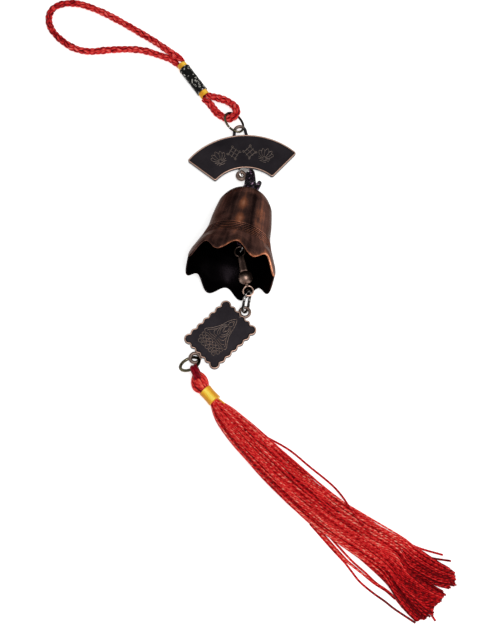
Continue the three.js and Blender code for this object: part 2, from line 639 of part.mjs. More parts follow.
// Skirt of the tassel, from its neck: centre, half width and thickness at places down its length, then
// tip locks
const skirtStations = [[4.4, -5.4, 2.4, 4.4], [6.9, -8.6, 4.1, 4.8], [10.1, -12.4, 5.3, 5.0],
  [16.8, -19.9, 6.5, 5.2], [27.3, -30.7, 7.1, 5.2], [38.2, -41.0, 7.4, 5.0], [49.7, -50.7, 7.6, 4.8],
  [62.2, -59.3, 8.0, 4.6], [74.5, -68.0, 9.2, 4.2], [82.6, -76.0, 10.9, 3.8]];
const skirtLine = new THREE.CatmullRomCurve3(
  skirtStations.map(([x, y]) => new THREE.Vector3(x, y, 0)), false, "centripetal");

function flatRing(centre, way, halfWidth, thickness) {
  const across = new THREE.Vector3(way.y, -way.x, 0);
  return Array.from({ length: 16 }, (_, i) => {
    const turn = (2 * Math.PI * i) / 16;
    const sine = Math.sin(turn);
    const point = centre.clone().addScaledVector(across, halfWidth * Math.cos(turn));
    return point.setZ(SKIRT_LIFT + (thickness / 2) * (1 + Math.sign(sine) * Math.abs(sine) ** 0.8));
  });
}

function flatLock(points, halfWidth, thickness) {
  const line = new THREE.CatmullRomCurve3(points.map(([x, y]) => new THREE.Vector3(x, y, 0)));
  return loft([0, 0.25, 0.5, 0.75, 1].map((share) => {
    const narrowing = 1 - 0.65 * share * share;
    return flatRing(line.getPoint(share), line.getTangent(share), halfWidth * narrowing, thickness * narrowing);
  }));
}

const skirtBody = loft(skirtStations.map(([x, y, halfWidth, thickness], i) => {
  const way = skirtLine.getTangent(i / (skirtStations.length - 1));
  return flatRing(new THREE.Vector3(x, y, 0), way, halfWidth, thickness);
}));
const skirtLocks = TASSEL_LOCKS.map(([from, to]) => flatLock([from, to], LOCK_HALF_WIDTH, LOCK_THICKNESS));
piece("tassel_skirt", joined(skirtBody, ...skirtLocks).translate(neckPlace.x, neckPlace.y, 0), RED_CORD);

export default hanger;
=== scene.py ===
import math
import random

import bmesh
import bpy
import numpy as np
from mathutils import Matrix, Vector


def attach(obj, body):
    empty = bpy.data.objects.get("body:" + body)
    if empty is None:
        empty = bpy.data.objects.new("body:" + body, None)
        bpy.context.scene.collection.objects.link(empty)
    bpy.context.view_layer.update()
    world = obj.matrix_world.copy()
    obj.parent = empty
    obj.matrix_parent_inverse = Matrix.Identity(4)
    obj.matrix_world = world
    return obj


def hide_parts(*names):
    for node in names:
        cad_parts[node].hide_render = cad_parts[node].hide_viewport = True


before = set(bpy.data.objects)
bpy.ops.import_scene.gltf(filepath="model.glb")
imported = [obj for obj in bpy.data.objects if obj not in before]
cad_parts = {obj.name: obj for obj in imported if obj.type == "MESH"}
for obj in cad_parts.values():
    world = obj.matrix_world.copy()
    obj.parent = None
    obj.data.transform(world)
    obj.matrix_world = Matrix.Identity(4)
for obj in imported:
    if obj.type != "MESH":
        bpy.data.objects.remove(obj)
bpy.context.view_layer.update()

MM = 0.001
rng = random.Random(11)


# Camera: 600 mm from its target, 71.2 degrees up, framing 500 x 625 at 0.42 mm to a pixel
CAMERA_TARGET = np.array([-24.0, 5.5, 0.0])
CAMERA_DISTANCE = 600.0
CAMERA_CLIMB = math.radians(71.2)
CAMERA_BACK = np.array([0.0, -math.cos(CAMERA_CLIMB), math.sin(CAMERA_CLIMB)])
CAMERA_UP = np.array([0.0, math.sin(CAMERA_CLIMB), math.cos(CAMERA_CLIMB)])
CAMERA_PLACE = CAMERA_TARGET + CAMERA_DISTANCE * CAMERA_BACK
SENSOR = 36.0
PIXEL = 0.42
PHOTO_WIDTH = 500
PHOTO_HEIGHT = 625


def new_object(name, data):
    thing = bpy.data.objects.new(name, data)
    bpy.context.scene.collection.objects.link(thing)
    return thing


def make_camera():
    data = bpy.data.cameras.new("camera")
    data.sensor_fit = "VERTICAL"
    data.sensor_height = SENSOR
    data.lens = SENSOR * CAMERA_DISTANCE / (PIXEL * PHOTO_HEIGHT)
    data.clip_start = 0.01
    data.clip_end = 10.0
    camera = new_object("camera", data)
    camera.location = CAMERA_PLACE * MM
    camera.rotation_euler = (math.pi / 2 - CAMERA_CLIMB, 0, 0)
    bpy.context.scene.camera = camera


make_camera()


def on_floor(x, y, z):
    """The point at a height that lies at a pixel of the photograph."""
    right = np.array([(x - PHOTO_WIDTH / 2) * PIXEL, 0.0, 0.0])
    up = CAMERA_UP * (PHOTO_HEIGHT / 2 - y) * PIXEL
    way = right + up - CAMERA_DISTANCE * CAMERA_BACK
    return CAMERA_PLACE + way * (z - CAMERA_PLACE[2]) / way[2]


# Lines and frames
def unit(vectors):
    return vectors / np.linalg.norm(vectors, axis=-1, keepdims=True)


def full_turn(count):
    """Even angles once round."""
    return 2 * math.pi * np.arange(count) / count


def smoothstep(value, low, high):
    share = np.clip((value - low) / (high - low), 0, 1)
    return share * share * (3 - 2 * share)


def length_along(line):
    return np.r_[0, np.cumsum(np.linalg.norm(np.diff(line, axis=0), axis=1))]


def curve(points, step, closed=False):
    """A smooth line through points, in even steps of about that length."""
    p = np.array(points, float)
    if closed:
        knots = np.vstack([p[-1:], p, p[:2]])
    else:
        knots = np.vstack([2 * p[:1] - p[1:2], p, 2 * p[-1:] - p[-2:-1]])
    share = np.linspace(0, 1, 14, endpoint=False)[:, None]
    parts = []
    for a, b, c, d in zip(knots, knots[1:], knots[2:], knots[3:]):
        parts.append(0.5 * (2 * b + (c - a) * share + (2 * a - 5 * b + 4 * c - d) * share ** 2
                            + (3 * b - a - 3 * c + d) * share ** 3))
    parts.append(p[:1] if closed else p[-1:])
    fine = np.vstack(parts)
    far = length_along(fine)
    count = max(3, round(far[-1] / step)) + 1
    places = np.linspace(0, far[-1], count)
    even = np.stack([np.interp(places, far, fine[:, k]) for k in range(p.shape[1])], 1)
    return even[:-1] if closed else even


def ways(line, closed=False):
    if closed:
        return unit(np.roll(line, -1, axis=0) - np.roll(line, 1, axis=0))
    return unit(np.gradient(line, axis=0))


def across(line, closed=False):
    """Two directions across a line at each point, which turn with it and don't twist."""
    way = ways(line, closed)
    start = np.cross(way[0], (0.0, 0.0, 1.0))
    if np.linalg.norm(start) < 0.05:
        start = np.cross(way[0], (1.0, 0.0, 0.0))
    side = np.empty_like(way)
    side[0] = unit(start)
    for i in range(1, len(way)):
        flat = side[i - 1] - way[i] * np.dot(side[i - 1], way[i])
        side[i] = unit(flat)
    return side, np.cross(way, side)


class Place:
    """A point and a lie: -Y runs along the way a piece lies, X to its right, Z up. at() gives local
    points' places in the hanger."""

    def __init__(self, origin, heading, climb=0.0, roll=0.0):
        self.origin = np.array(origin, float)
        self.axes = np.array(Matrix.Rotation(math.radians(heading), 3, "Z")
                             @ Matrix.Rotation(math.radians(-climb), 3, "X")
                             @ Matrix.Rotation(math.radians(roll), 3, "Y"))

    def at(self, points):
        return np.array(points, float) @ self.axes.T + self.origin


class Shape:
    """Collects surfaces and makes one piece of them. Each surface has a UV map, turns round and mm along,
    and a vertex value: how rubbed a metal piece is, plus painted highlight and shade on the bell, a link and
    the yarns."""

    def __init__(self):
        self.points = []
        self.faces = []
        self.uvs = []
        self.wear_and_painted_light = []
        self.count = 0

    def surface(self, rings, along=None, closed=False, wear_and_painted_light=0.0, number=0):
        """A skin over rings of points, capped at both ends or closed; number tells strands apart."""
        rings = np.asarray(rings, float)
        n, k = rings.shape[:2]
        ids = self.count + np.arange(n * k).reshape(n, k)
        self.points.append(rings.reshape(-1, 3))
        self.wear_and_painted_light.append(np.broadcast_to(np.asarray(wear_and_painted_light, float), (n, k)).reshape(-1))
        self.count += n * k
        if along is None:
            along = np.arange(n, dtype=float)
        rows = n if closed else n - 1
        first = ids[:rows]
        second = np.roll(ids, -1, axis=0)[:rows]
        quads = np.stack([first, np.roll(first, -1, 1), np.roll(second, -1, 1), second], -1)
        self.faces.extend(quads.reshape(-1, 4).tolist())
        low = np.broadcast_to((number + np.arange(k) / k)[None, :], (rows, k))
        here = np.broadcast_to(np.asarray(along, float)[:rows, None], (rows, k))
        there = np.broadcast_to(np.append(along, 2 * along[-1] - along[-2])[1:rows + 1, None], (rows, k))
        corners = [(low, here), (low + 1 / k, here), (low + 1 / k, there), (low, there)]
        self.uvs.append(np.stack([np.stack(c, -1) for c in corners], 2).reshape(-1, 2))
        if not closed:
            for ring, v in ((ids[0], along[0]), (ids[-1], along[-1])):
                self.faces.append(ring.tolist())
                self.uvs.append(np.tile([[number + 0.5, v]], (k, 1)))

    def tube(self, line, radius, sides=8, closed=False, flat=1.0, normal=None, wear_and_painted_light=0.0, number=0):
        """A tube along a line. radius is a number or one for each point; flat squashes it along normal."""
        line = np.asarray(line, float)
        if normal is None:
            side, up = across(line, closed)
        else:
            up = np.broadcast_to(unit(np.asarray(normal, float)), line.shape)
            side = unit(np.cross(up, ways(line, closed)))
        turn = full_turn(sides)
        size = np.broadcast_to(np.asarray(radius, float), (len(line),))[:, None, None]
        rings = (line[:, None] + size * (side[:, None] * np.cos(turn)[None, :, None]
                                         + flat * up[:, None] * np.sin(turn)[None, :, None]))
        self.surface(rings, length_along(line), closed, wear_and_painted_light, number)

    def make(self, name, material, body, nodes, slot):
        """One mesh of the surfaces, which rides a body and stands for the solids of some nodes."""
        mesh = bpy.data.meshes.new(name)
        mesh.from_pydata((np.vstack(self.points) * MM).tolist(), [], self.faces)
        layer = mesh.uv_layers.new(name="strand")
        layer.data.foreach_set("uv", np.vstack(self.uvs).astype(np.float32).ravel())
        wear_and_painted_light = np.concatenate(self.wear_and_painted_light)
        colour = mesh.color_attributes.new("wear_and_painted_light", "FLOAT_COLOR", "POINT")
        colour.data.foreach_set("color", np.stack([wear_and_painted_light, wear_and_painted_light, wear_and_painted_light, np.ones_like(wear_and_painted_light)], 1).ravel())
        mesh.polygons.foreach_set("use_smooth", [True] * len(mesh.polygons))
        mesh.materials.append(material)
        work = bmesh.new()
        work.from_mesh(mesh)
        bmesh.ops.recalc_face_normals(work, faces=work.faces)
        work.to_mesh(mesh)
        work.free()
        piece = new_object(name, mesh)
        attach(piece, body)
        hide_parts(*nodes)
        return piece


# Materials
def srgb(code):
    """A colour from its sRGB hex code, as linear values."""
    parts = [int(code[i:i + 2], 16) / 255 for i in (0, 2, 4)]
    return (*[c / 12.92 if c < 0.04045 else ((c + 0.055) / 1.055) ** 2.4 for c in parts], 1.0)


MATH = "ShaderNodeMath"
NOISE = "ShaderNodeTexNoise"
RANDOM = "ShaderNodeTexWhiteNoise"
RAMP = "ShaderNodeValToRGB"


def add(tree, kind, inputs=None, stops=(), **settings):
    """Adds a node. An input is a value, a socket, or a node for its first output. Stops are those of a
    colour ramp, as (place, sRGB code)."""
    node = tree.nodes.new(kind)
    for key, value in settings.items():
        setattr(node, key, value)
    for key, value in (inputs or {}).items():
        if isinstance(value, bpy.types.Node):
            value = value.outputs[0]
        if isinstance(value, bpy.types.NodeSocket):
            tree.links.new(value, node.inputs[key])
        else:
            node.inputs[key].default_value = value
    if stops:
        elements = node.color_ramp.elements
        while len(elements) < len(stops):
            elements.new(0.5)
        for element, (place, code) in zip(elements, stops):
            element.position = place
            element.color = srgb(code)
    return node


def new_material(name, **values):
    material = bpy.data.materials.new(name)
    material.use_nodes = True
    tree = material.node_tree
    shader = tree.nodes["Principled BSDF"]
    for key, value in values.items():
        shader.inputs[key.replace("_", " ")].default_value = value
    return material, tree, shader


def swing(tree, base, value, amount):
    """Adds a value between 0 and 1 to a base, centred, so that it varies by that amount."""
    part = add(tree, MATH, {0: value, 1: amount, 2: -amount / 2}, operation="MULTIPLY_ADD")
    return add(tree, MATH, {0: base, 1: part}, operation="ADD")


def colour_and_relief(tree, shader, stops, mask, height, depth):
    """Colours a shader by a mask and gives it the relief of a height, which is a depth in millimetres."""
    colour = add(tree, RAMP, {"Fac": mask}, stops)
    tree.links.new(colour.outputs["Color"], shader.inputs["Base Color"])
    relief = add(tree, "ShaderNodeBump", {"Height": height, "Distance": depth * MM})
    tree.links.new(relief.outputs["Normal"], shader.inputs["Normal"])


def strand_uv(tree):
    """The turns round a strand, with its number before the point, and the millimetres along it."""
    uv = add(tree, "ShaderNodeUVMap", uv_map="strand")
    parts = add(tree, "ShaderNodeSeparateXYZ", {"Vector": uv})
    return parts.outputs["X"], parts.outputs["Y"]


MIDDLE_SHADE = 0.45
BLOTCHES_PER_MM = 1.6
FLECK_DETAIL = 3.0
STRANDS_APART = 3.7
STRAND_START = 7.0
SKIRT_WAY = (0.66, -0.75)


def yarn(name, stops, threads, twist, roughness, depth, fibre=0.3, specks=1.5, spread=0.3, edge=0.0,
         gloss=0.16, tint="FF9080", dash=0.0, dark_tips=None):
    """Silky plied yarn, which looks soft and lively up close: plies wind round each strand, strands differ
    in colour, and flecks vary them, as dashes along a strand of the length dash or else as blotches; the
    brightest of them are painted glints. Edge paints shade on the sides of flat strands, as in a braid's
    grooves. The vertex value adds to the shade; on braids, the tassel's head and the wound bands it holds
    painted highlight and shade. dark_tips says from where to where along the skirt it darkens, and by how
    much."""
    material, tree, shader = new_material(name, Roughness=roughness, Specular_IOR_Level=gloss,
                                          Specular_Tint=srgb(tint))
    turn, along = strand_uv(tree)
    number = add(tree, MATH, {0: turn}, operation="FLOOR")
    own = add(tree, RANDOM, {"W": number}, noise_dimensions="1D")
    plies = add(tree, MATH, {0: turn, 1: threads}, operation="MULTIPLY")
    plies = add(tree, MATH, {0: along, 1: 1 / twist, 2: plies}, operation="MULTIPLY_ADD")
    plies = add(tree, MATH, {0: own, 1: STRAND_START, 2: plies}, operation="MULTIPLY_ADD")
    wave = add(tree, MATH, {0: plies, 1: 2 * math.pi}, operation="MULTIPLY")
    wave = add(tree, MATH, {0: wave}, operation="SINE")
    wave = add(tree, MATH, {0: wave, 1: 0.5, 2: 0.5}, operation="MULTIPLY_ADD")
    place = add(tree, "ShaderNodeTexCoord").outputs["Object"]
    spot = place
    scale = BLOTCHES_PER_MM / MM
    if dash:
        dashes = add(tree, MATH, {0: along, 1: 1 / dash}, operation="MULTIPLY")
        strand = add(tree, MATH, {0: number, 1: STRANDS_APART}, operation="MULTIPLY")
        spot = add(tree, "ShaderNodeCombineXYZ", {"X": dashes, "Y": strand})
        scale = 1.0
    flecks = add(tree, NOISE, {"Vector": spot, "Scale": scale, "Detail": FLECK_DETAIL})
    shade = add(tree, MATH, {0: flecks, 1: specks, 2: MIDDLE_SHADE - specks / 2}, operation="MULTIPLY_ADD")
    shade = swing(tree, swing(tree, shade, wave, fibre), own, spread)
    wear_and_painted_light = add(tree, "ShaderNodeVertexColor", layer_name="wear_and_painted_light")
    shade = add(tree, MATH, {0: shade, 1: wear_and_painted_light}, operation="ADD")
    # Painted shade on the sides of a flat strand, which face into the braid's grooves.
    if edge:
        hidden = add(tree, MATH, {0: turn, 1: 2 * math.pi}, operation="MULTIPLY")
        hidden = add(tree, MATH, {0: hidden}, operation="SINE")
        hidden = add(tree, MATH, {0: hidden, 1: -0.5, 2: 0.5}, operation="MULTIPLY_ADD")
        hidden = add(tree, MATH, {0: hidden, 1: hidden}, operation="MULTIPLY")
        shade = add(tree, MATH, {0: shade, 1: 0.3 * edge}, operation="ADD")
        shade = add(tree, MATH, {0: hidden, 1: -4 * edge, 2: shade}, operation="MULTIPLY_ADD")
    if dark_tips:
        start, end, amount = dark_tips
        way = (SKIRT_WAY[0] / MM, SKIRT_WAY[1] / MM, 0)
        far = add(tree, "ShaderNodeVectorMath", {0: place, 1: way}, operation="DOT_PRODUCT")
        dark = add(tree, "ShaderNodeMapRange", {"Value": far.outputs["Value"], "From Min": start,
                                                "From Max": end, "To Min": 0.0, "To Max": amount},
                   interpolation_type="SMOOTHSTEP")
        shade = add(tree, MATH, {0: shade, 1: dark}, operation="SUBTRACT")
    # The ramp's brightest stops are painted glints, where the shade runs high.
    colour_and_relief(tree, shader, stops, shade, wave, depth)
    return material


STREAK_SCALE = (55.0, 0.02, 1.0)


def antique(name, stops, roughness, grain, depth, patches=0.12, mottle=0.25, streaks=0.0, edge="FFFFFF"):
    """Cast antiqued metal, which looks old and handled: dark in its hollows, rubbed to bright metal where
    its vertex value is high; on the bell and the back link that value also holds painted highlight and
    shade. Grain and patches are spots to a millimetre. Streaks are burnished lines that run down a turned
    surface, and edge tints what it mirrors at a low angle."""
    material, tree, shader = new_material(name, Metallic=1.0, Specular_Tint=srgb(edge))
    place = add(tree, "ShaderNodeTexCoord").outputs["Object"]
    wear_and_painted_light = add(tree, "ShaderNodeVertexColor", layer_name="wear_and_painted_light")
    coarse = add(tree, NOISE, {"Vector": place, "Scale": patches / MM, "Detail": 5.0})
    fine = add(tree, NOISE, {"Vector": place, "Scale": grain / MM, "Detail": 2.0})
    mask = swing(tree, swing(tree, wear_and_painted_light, coarse, mottle), fine, mottle / 2)
    if streaks:
        uv = add(tree, "ShaderNodeUVMap", uv_map="strand")
        drawn = add(tree, "ShaderNodeMapping", {"Vector": uv, "Scale": STREAK_SCALE})
        lines = add(tree, NOISE, {"Vector": drawn, "Scale": 1.0, "Detail": 4.0})
        mask = swing(tree, mask, lines, streaks)
    rough = add(tree, MATH, {0: fine, 1: 0.2, 2: roughness - 0.1}, operation="MULTIPLY_ADD")
    tree.links.new(rough.outputs[0], shader.inputs["Roughness"])
    colour_and_relief(tree, shader, stops, mask, fine, depth)
    return material


# Viscose cord, the silky red of the hanging loops, with painted shade on its strands' sides
RED_BRAID = yarn("red_braid",
                 [(0.0, "4A020C"), (0.25, "8E0A14"), (0.5, "C22024"), (0.75, "DA3C38"), (1.0, "EE6C64")],
                 threads=3, twist=6.0, roughness=0.4, depth=0.05, fibre=0.35, specks=1.1, edge=0.4, dash=2.6)
# Rayon tassel yarn, bright red with painted pink glints and dark tips
TASSEL_YARN = yarn("tassel_yarn",
                   [(0.0, "560008"), (0.25, "A2060E"), (0.5, "D21E24"), (0.75, "E6443C"), (1.0, "FA9C88")],
                   threads=2, twist=2.4, roughness=0.4, depth=0.09, fibre=0.35, specks=1.25, spread=0.6,
                   dash=1.0, dark_tips=(91.0, 107.0, 0.36))
# The same yarn drawn tight over the head, smoother and more orange
HEAD_YARN = yarn("head_yarn", [(0.0, "56020A"), (0.3, "9C0C14"), (0.6, "D62C2A"), (1.0, "F4705A")],
                 threads=2, twist=2.4, roughness=0.36, depth=0.04, specks=1.0, gloss=0.25)
# Dull, dark red cotton cord of the tassel's loop
DARK_RED_BRAID = yarn("dark_red_braid", [(0.0, "40020C"), (0.5, "7C0618"), (1.0, "AA1C30")],
                      threads=3, twist=2.6, roughness=0.4, depth=0.08, specks=0.8, gloss=0.1)
# Glossy golden embroidery thread, close to a smooth band
YELLOW_THREAD = yarn("yellow_thread", [(0.0, "B87418"), (0.4, "E2A02C"), (0.7, "F8C83C"), (1.0, "FFEC70")],
                     threads=2, twist=0.7, roughness=0.3, depth=0.01, specks=0.35, gloss=0.3, tint="FFE890")


def flecked_black(turn_length, cells=26, share=0.66):
    """Black waxed thread with short pale bits in it, which line up from turn to turn."""
    material, tree, shader = new_material("flecked_black_thread", Roughness=0.5, Specular_IOR_Level=0.15)
    _, along = strand_uv(tree)
    cell = add(tree, MATH, {0: along, 1: cells / turn_length}, operation="MULTIPLY")
    cell = add(tree, MATH, {0: cell}, operation="FLOOR")
    column = add(tree, MATH, {0: cell, 1: float(cells)}, operation="MODULO")
    chosen = add(tree, RANDOM, {"W": column}, noise_dimensions="1D")
    chosen = add(tree, MATH, {0: chosen, 1: share}, operation="GREATER_THAN")
    each = add(tree, RANDOM, {"W": cell}, noise_dimensions="1D")
    fleck = add(tree, MATH, {0: each, 1: share}, operation="GREATER_THAN")
    fleck = add(tree, MATH, {0: chosen, 1: fleck}, operation="MULTIPLY")
    tint = add(tree, MATH, {0: each, 1: 1.6, 2: -0.7}, operation="MULTIPLY_ADD")
    tint = add(tree, MATH, {0: fleck, 1: tint}, operation="MULTIPLY")
    colour = add(tree, RAMP, {"Fac": tint}, [(0.0, "060606"), (0.1, "4C4B47"), (0.9, "CFCDC4")])
    tree.links.new(colour.outputs["Color"], shader.inputs["Base Color"])
    return material


WRAP_RADIUS = 2.27
BLACK_THREAD = flecked_black(2 * math.pi * WRAP_RADIUS)


def satin_cord_material(line_apart=0.45, glints_per_mm=0.9):
    """Near-black purple satin: fine lines across the cord, glossy, with pink highlights painted on in spots.
    """
    material, tree, shader = new_material("satin", Roughness=0.26, Specular_IOR_Level=0.1)
    _, along = strand_uv(tree)
    lines = add(tree, MATH, {0: along, 1: 2 * math.pi / line_apart}, operation="MULTIPLY")
    lines = add(tree, MATH, {0: lines}, operation="SINE")
    place = add(tree, "ShaderNodeTexCoord").outputs["Object"]
    glints = add(tree, NOISE, {"Vector": place, "Scale": glints_per_mm / MM, "Detail": FLECK_DETAIL})
    stops = [(0.3, "040204"), (0.56, "100810"), (0.63, "5C3E5E"), (0.7, "ECC8E0")]
    colour_and_relief(tree, shader, stops, glints, lines, 0.06)
    return material


SATIN = satin_cord_material()
# Cast zinc under dark antique plating, with pink copper on its raised lines
PLATE = antique("antique_plate",
                [(0.0, "2A262A"), (0.25, "3F3A3E"), (0.5, "756963"), (0.8, "A48474"), (1.0, "D0AC9A")],
                roughness=0.46, grain=5.0, depth=0.03, mottle=0.4)
# Cast brass under brown patina, burnished to copper in streaks and on the lip; its stripes at set angles are
# partly painted highlight
BELL = antique("antique_bell",
               [(0.0, "0D0A0C"), (0.15, "2A1D1C"), (0.35, "543A34"), (0.65, "A66649"), (1.0, "E8A684")],
               roughness=0.34, grain=2.2, depth=0.09, patches=0.2, mottle=0.4, streaks=0.5, edge="C8BCB8")
# The clapper's casting, smoother and pinker than the bell
CLAPPER = antique("antique_clapper", [(0.0, "1A1616"), (0.4, "503E38"), (1.0, "DCB8A6")],
                  roughness=0.4, grain=2.0, depth=0.01)
# Dark antique steel wire, olive in the light
RING = antique("antique_ring", [(0.0, "0C0A08"), (0.5, "2C2820"), (1.0, "78705A")],
               roughness=0.3, grain=1.2, depth=0.01, edge="A0A0A0")
# Bright plated wire, silver, with dark reflections painted into it in blotches
LINK = antique("bright_link", [(0.0, "0C0B0A"), (0.5, "2C2927"), (1.0, "DCD8D4")],
               roughness=0.22, grain=1.0, depth=0.01, mottle=1.5, patches=0.6, edge="909090")


# Hanging loop: two braided cords, held in one wrapped binding
BINDING = Place([-49.05, 113.1, 2.85], 35)
BINDING_HALF = 9.6
CORD_SEAT = 0.3
STRAND_SPREAD = 1.1
STRAND_STEP = 1.2
CORE_HALF = 9.85
CORE_OFFSET = 0.72
CORE_STRAND = 0.8
WRAP_HALF = 6.9
COLLAR_RADIUS = 2.4
BAND_RADIUS = 2.0
BAND_MIDDLE = 8.4
BAND_LATHE = [(1.5, 7.3), (1.95, 7.35), (1.98, BAND_MIDDLE), (1.95, 9.4), (1.5, 9.5)]
STRANDS_EACH_WAY = 6
CORD_STEP = 0.4
CORE_SHARE = 0.27
CORE_NUMBER = 19.5


def loop_route(end, away, points):
    """A loop's line from the binding's end face and back to it, straight for the first bit."""
    face = end * (BINDING_HALF + CORD_SEAT)
    straight = face + end * away
    first = BINDING.at([[-STRAND_SPREAD, face, -STRAND_STEP], [-STRAND_SPREAD, straight, -STRAND_STEP]])
    last = BINDING.at([[STRAND_SPREAD, straight, STRAND_STEP], [STRAND_SPREAD, face, STRAND_STEP]])
    return np.vstack([first, points, last])


HANGING_ROUTE = loop_route(1, 1.2, [
    [-59.3, 124.1, 1.6], [-64.2, 126.1, 1.6], [-70.9, 128.4, 1.6], [-77.6, 129.2, 1.6], [-86.6, 128.9, 1.6],
    [-95.5, 128.1, 1.6], [-102.2, 129.6, 1.6], [-108.2, 133.6, 1.6], [-112.9, 139.0, 1.6],
    [-114.6, 144.8, 1.6], [-112.9, 149.9, 1.6], [-108.0, 152.4, 1.6], [-101.0, 152.2, 1.6],
    [-91.7, 148.6, 1.6], [-82.5, 143.4, 1.6], [-73.4, 137.5, 1.8], [-66.5, 132.5, 2.6], [-60.3, 127.3, 3.6]])
LOWER_ROUTE = loop_route(-1, 0.8, [
    [-42.0, 102.6, 1.6], [-40.3, 100.1, 1.6], [-37.9, 97.1, 1.7], [-34.8, 94.9, 2.35], [-32.4, 94.4, 3.05],
    [-30.3, 95.5, 4.4], [-30.0, 97.9, 4.4], [-31.6, 100.4, 4.1], [-35.0, 102.6, 4.1], [-38.9, 103.9, 4.1]])


def braid(shape, line, diameter, pitch):
    """Flat strands braided round a line, as many each way, over and under in turn. They are thinner at
    the ends; highlight is painted where a strand rides over and shade where it dips under, and painted
    shade darkens them where the cord turns at its far left."""
    each_way = STRANDS_EACH_WAY
    strand_width = 0.19 * diameter
    thickness = 0.13 * diameter
    radius = diameter / 2 - 1.5 * thickness
    shaded = 0.22 * smoothstep(-line[:, 0], 100, 111)
    side, up = across(line)
    far = length_along(line)
    size = 0.7 + 0.3 * smoothstep(np.minimum(far, far[-1] - far), 0, 4.0)
    wobble = 1 + 0.05 * np.sin(far * 0.9) + 0.04 * np.sin(far * 0.37 + 1.0)
    turn = 2 * math.pi * far / pitch
    over = np.cos(each_way * turn)
    angles = full_turn(10)
    for way in (1, -1):
        for i in range(each_way):
            angle = way * turn + 2 * math.pi * i / each_way + 0.13 * np.sin(0.5 * far + 2.1 * i + way)
            out = side * np.cos(angle)[:, None] + up * np.sin(angle)[:, None]
            reach = (radius + way * 0.75 * thickness * over) * size * wobble
            middle = line + out * reach[:, None]
            along = ways(middle)
            wide = unit(np.cross(along, out))
            thick = np.cross(wide, along)
            ring = (strand_width * wide[:, None] * np.cos(angles)[None, :, None]
                    + thickness * thick[:, None] * np.sin(angles)[None, :, None])
            # Painted highlight where a strand rides over, painted shade where it dips under and at the cord's
            # far left.
            shape.surface(middle[:, None] + size[:, None, None] * ring, far, number=i + each_way * (way > 0),
                          wear_and_painted_light=(0.42 * way * over - 0.24 - shaded)[:, None])


def cord_loop(name, node, route, diameter, pitch):
    """A braided loop over a plain core."""
    shape = Shape()
    line = curve(route, CORD_STEP)
    braid(shape, line, diameter, pitch)
    shape.tube(line, diameter * CORE_SHARE, 8, number=CORE_NUMBER)
    piece = shape.make(name, RED_BRAID, "hanging_loop", [node], "red_cord")


cord_loop("braided_hanging_cord_loop", "hanging_cord_loop", HANGING_ROUTE, 3.05, 29.0)
cord_loop("braided_lower_cord_loop", "lower_cord_loop", LOWER_ROUTE, 3.4, 27.0)


def coil(shape, place, radius, start, end, pitch, thread, steps=22, number=0, shine=0.0, lit=0.3):
    """Thread wound close round a place's Y axis; radius is a function of y. Shine paints a narrow highlight
    stripe along its top and a little shade round the rest, and lit is that stripe's turn to the right."""
    turns = abs(end - start) / pitch
    count = int(turns * steps)
    share = np.linspace(0, 1, count + 1)
    angle = 2 * math.pi * turns * share
    y = start + (end - start) * share
    reach = np.array([radius(v) for v in y])
    line = place.at(np.stack([reach * np.cos(angle), y, reach * np.sin(angle)], 1))
    # A painted highlight stripe along the top of the winding, and painted shade round the rest.
    top = np.maximum(np.sin(angle + lit), 0) ** 9
    shape.tube(line, thread / 2, 6, number=number, wear_and_painted_light=(shine * (top - 0.3))[:, None])


def lathe_rings(place, stations, sides):
    """Rings round a place's Y axis through (radius, y) stations."""
    turn = full_turn(sides)
    return [place.at(np.stack([r * np.cos(turn), np.full(sides, y), r * np.sin(turn)], 1))
            for r, y in stations]


def wrap_lathe(shape, place, stations):
    shape.surface(lathe_rings(place, stations, 24), [y for _, y in stations])


def ball(y, radius, flat, count, gap):
    """Stations of a ball that is flattened along its axis; gap is the angle left open at its ends."""
    turns = np.linspace(gap, math.pi - gap, count)
    return [(radius * math.sin(t), y + radius * flat * math.cos(t)) for t in turns]


def binding():
    """Four strands inside, a black winding over them with a collar and a yellow band at each end."""
    core = Shape()
    for z in (CORE_OFFSET, -CORE_OFFSET):
        for x in (CORE_OFFSET, -CORE_OFFSET):
            line = BINDING.at([[x, y, z] for y in np.linspace(-CORE_HALF, CORE_HALF, 30)])
            core.tube(line, CORE_STRAND, 10, number=x + z)
    core.make("binding_strands", RED_BRAID, "hanging_loop", ["binding_core"], "red_cord")

    black = Shape()
    coil(black, BINDING, lambda y: WRAP_RADIUS + 0.04 * math.sin(y * 1.7), WRAP_HALF, -WRAP_HALF, 0.36, 0.42)
    wrap_lathe(black, BINDING, [(1.5, WRAP_HALF), (2.15, 6.85), (2.18, 0), (2.15, -6.85), (1.5, -WRAP_HALF)])
    black.make("black_wrap", BLACK_THREAD, "hanging_loop", ["black_thread_winding"], "black_thread")

    for name, side in (("upper", 1), ("lower", -1)):
        collar = Shape()
        coil(collar, BINDING, lambda y: COLLAR_RADIUS, side * 7.0, side * 6.45, 0.28, 0.46)
        collar.make(f"{name}_thread_collar", BLACK_THREAD, "hanging_loop", [f"{name}_collar"], "black_thread")
        band = Shape()
        coil(band, BINDING, lambda y: BAND_RADIUS - 0.02 * (abs(y) - BAND_MIDDLE) ** 2,
             side * 7.35, side * 9.5, 0.27, 0.34, shine=0.4)
        wrap_lathe(band, BINDING, [(r, side * y) for r, y in BAND_LATHE])
        band.make(f"{name}_yellow_wrap", YELLOW_THREAD, "hanging_loop", [f"{name}_yellow_band"],
                  "yellow_thread")


binding()


# Rings and links
TOP_RING = Place([-33.4, 96.2, 4.35], 31, -8, 38)
BACK_LINK = Place([-28.2, 68.9, 3.8], 52, -4, -40)
TAG_RING = Place([-46.59, -14.80, 1.86], -34.5, 20, -38)
RING_POINTS = 97
SPLIT = 2.4
WIRE_SIDES = 14


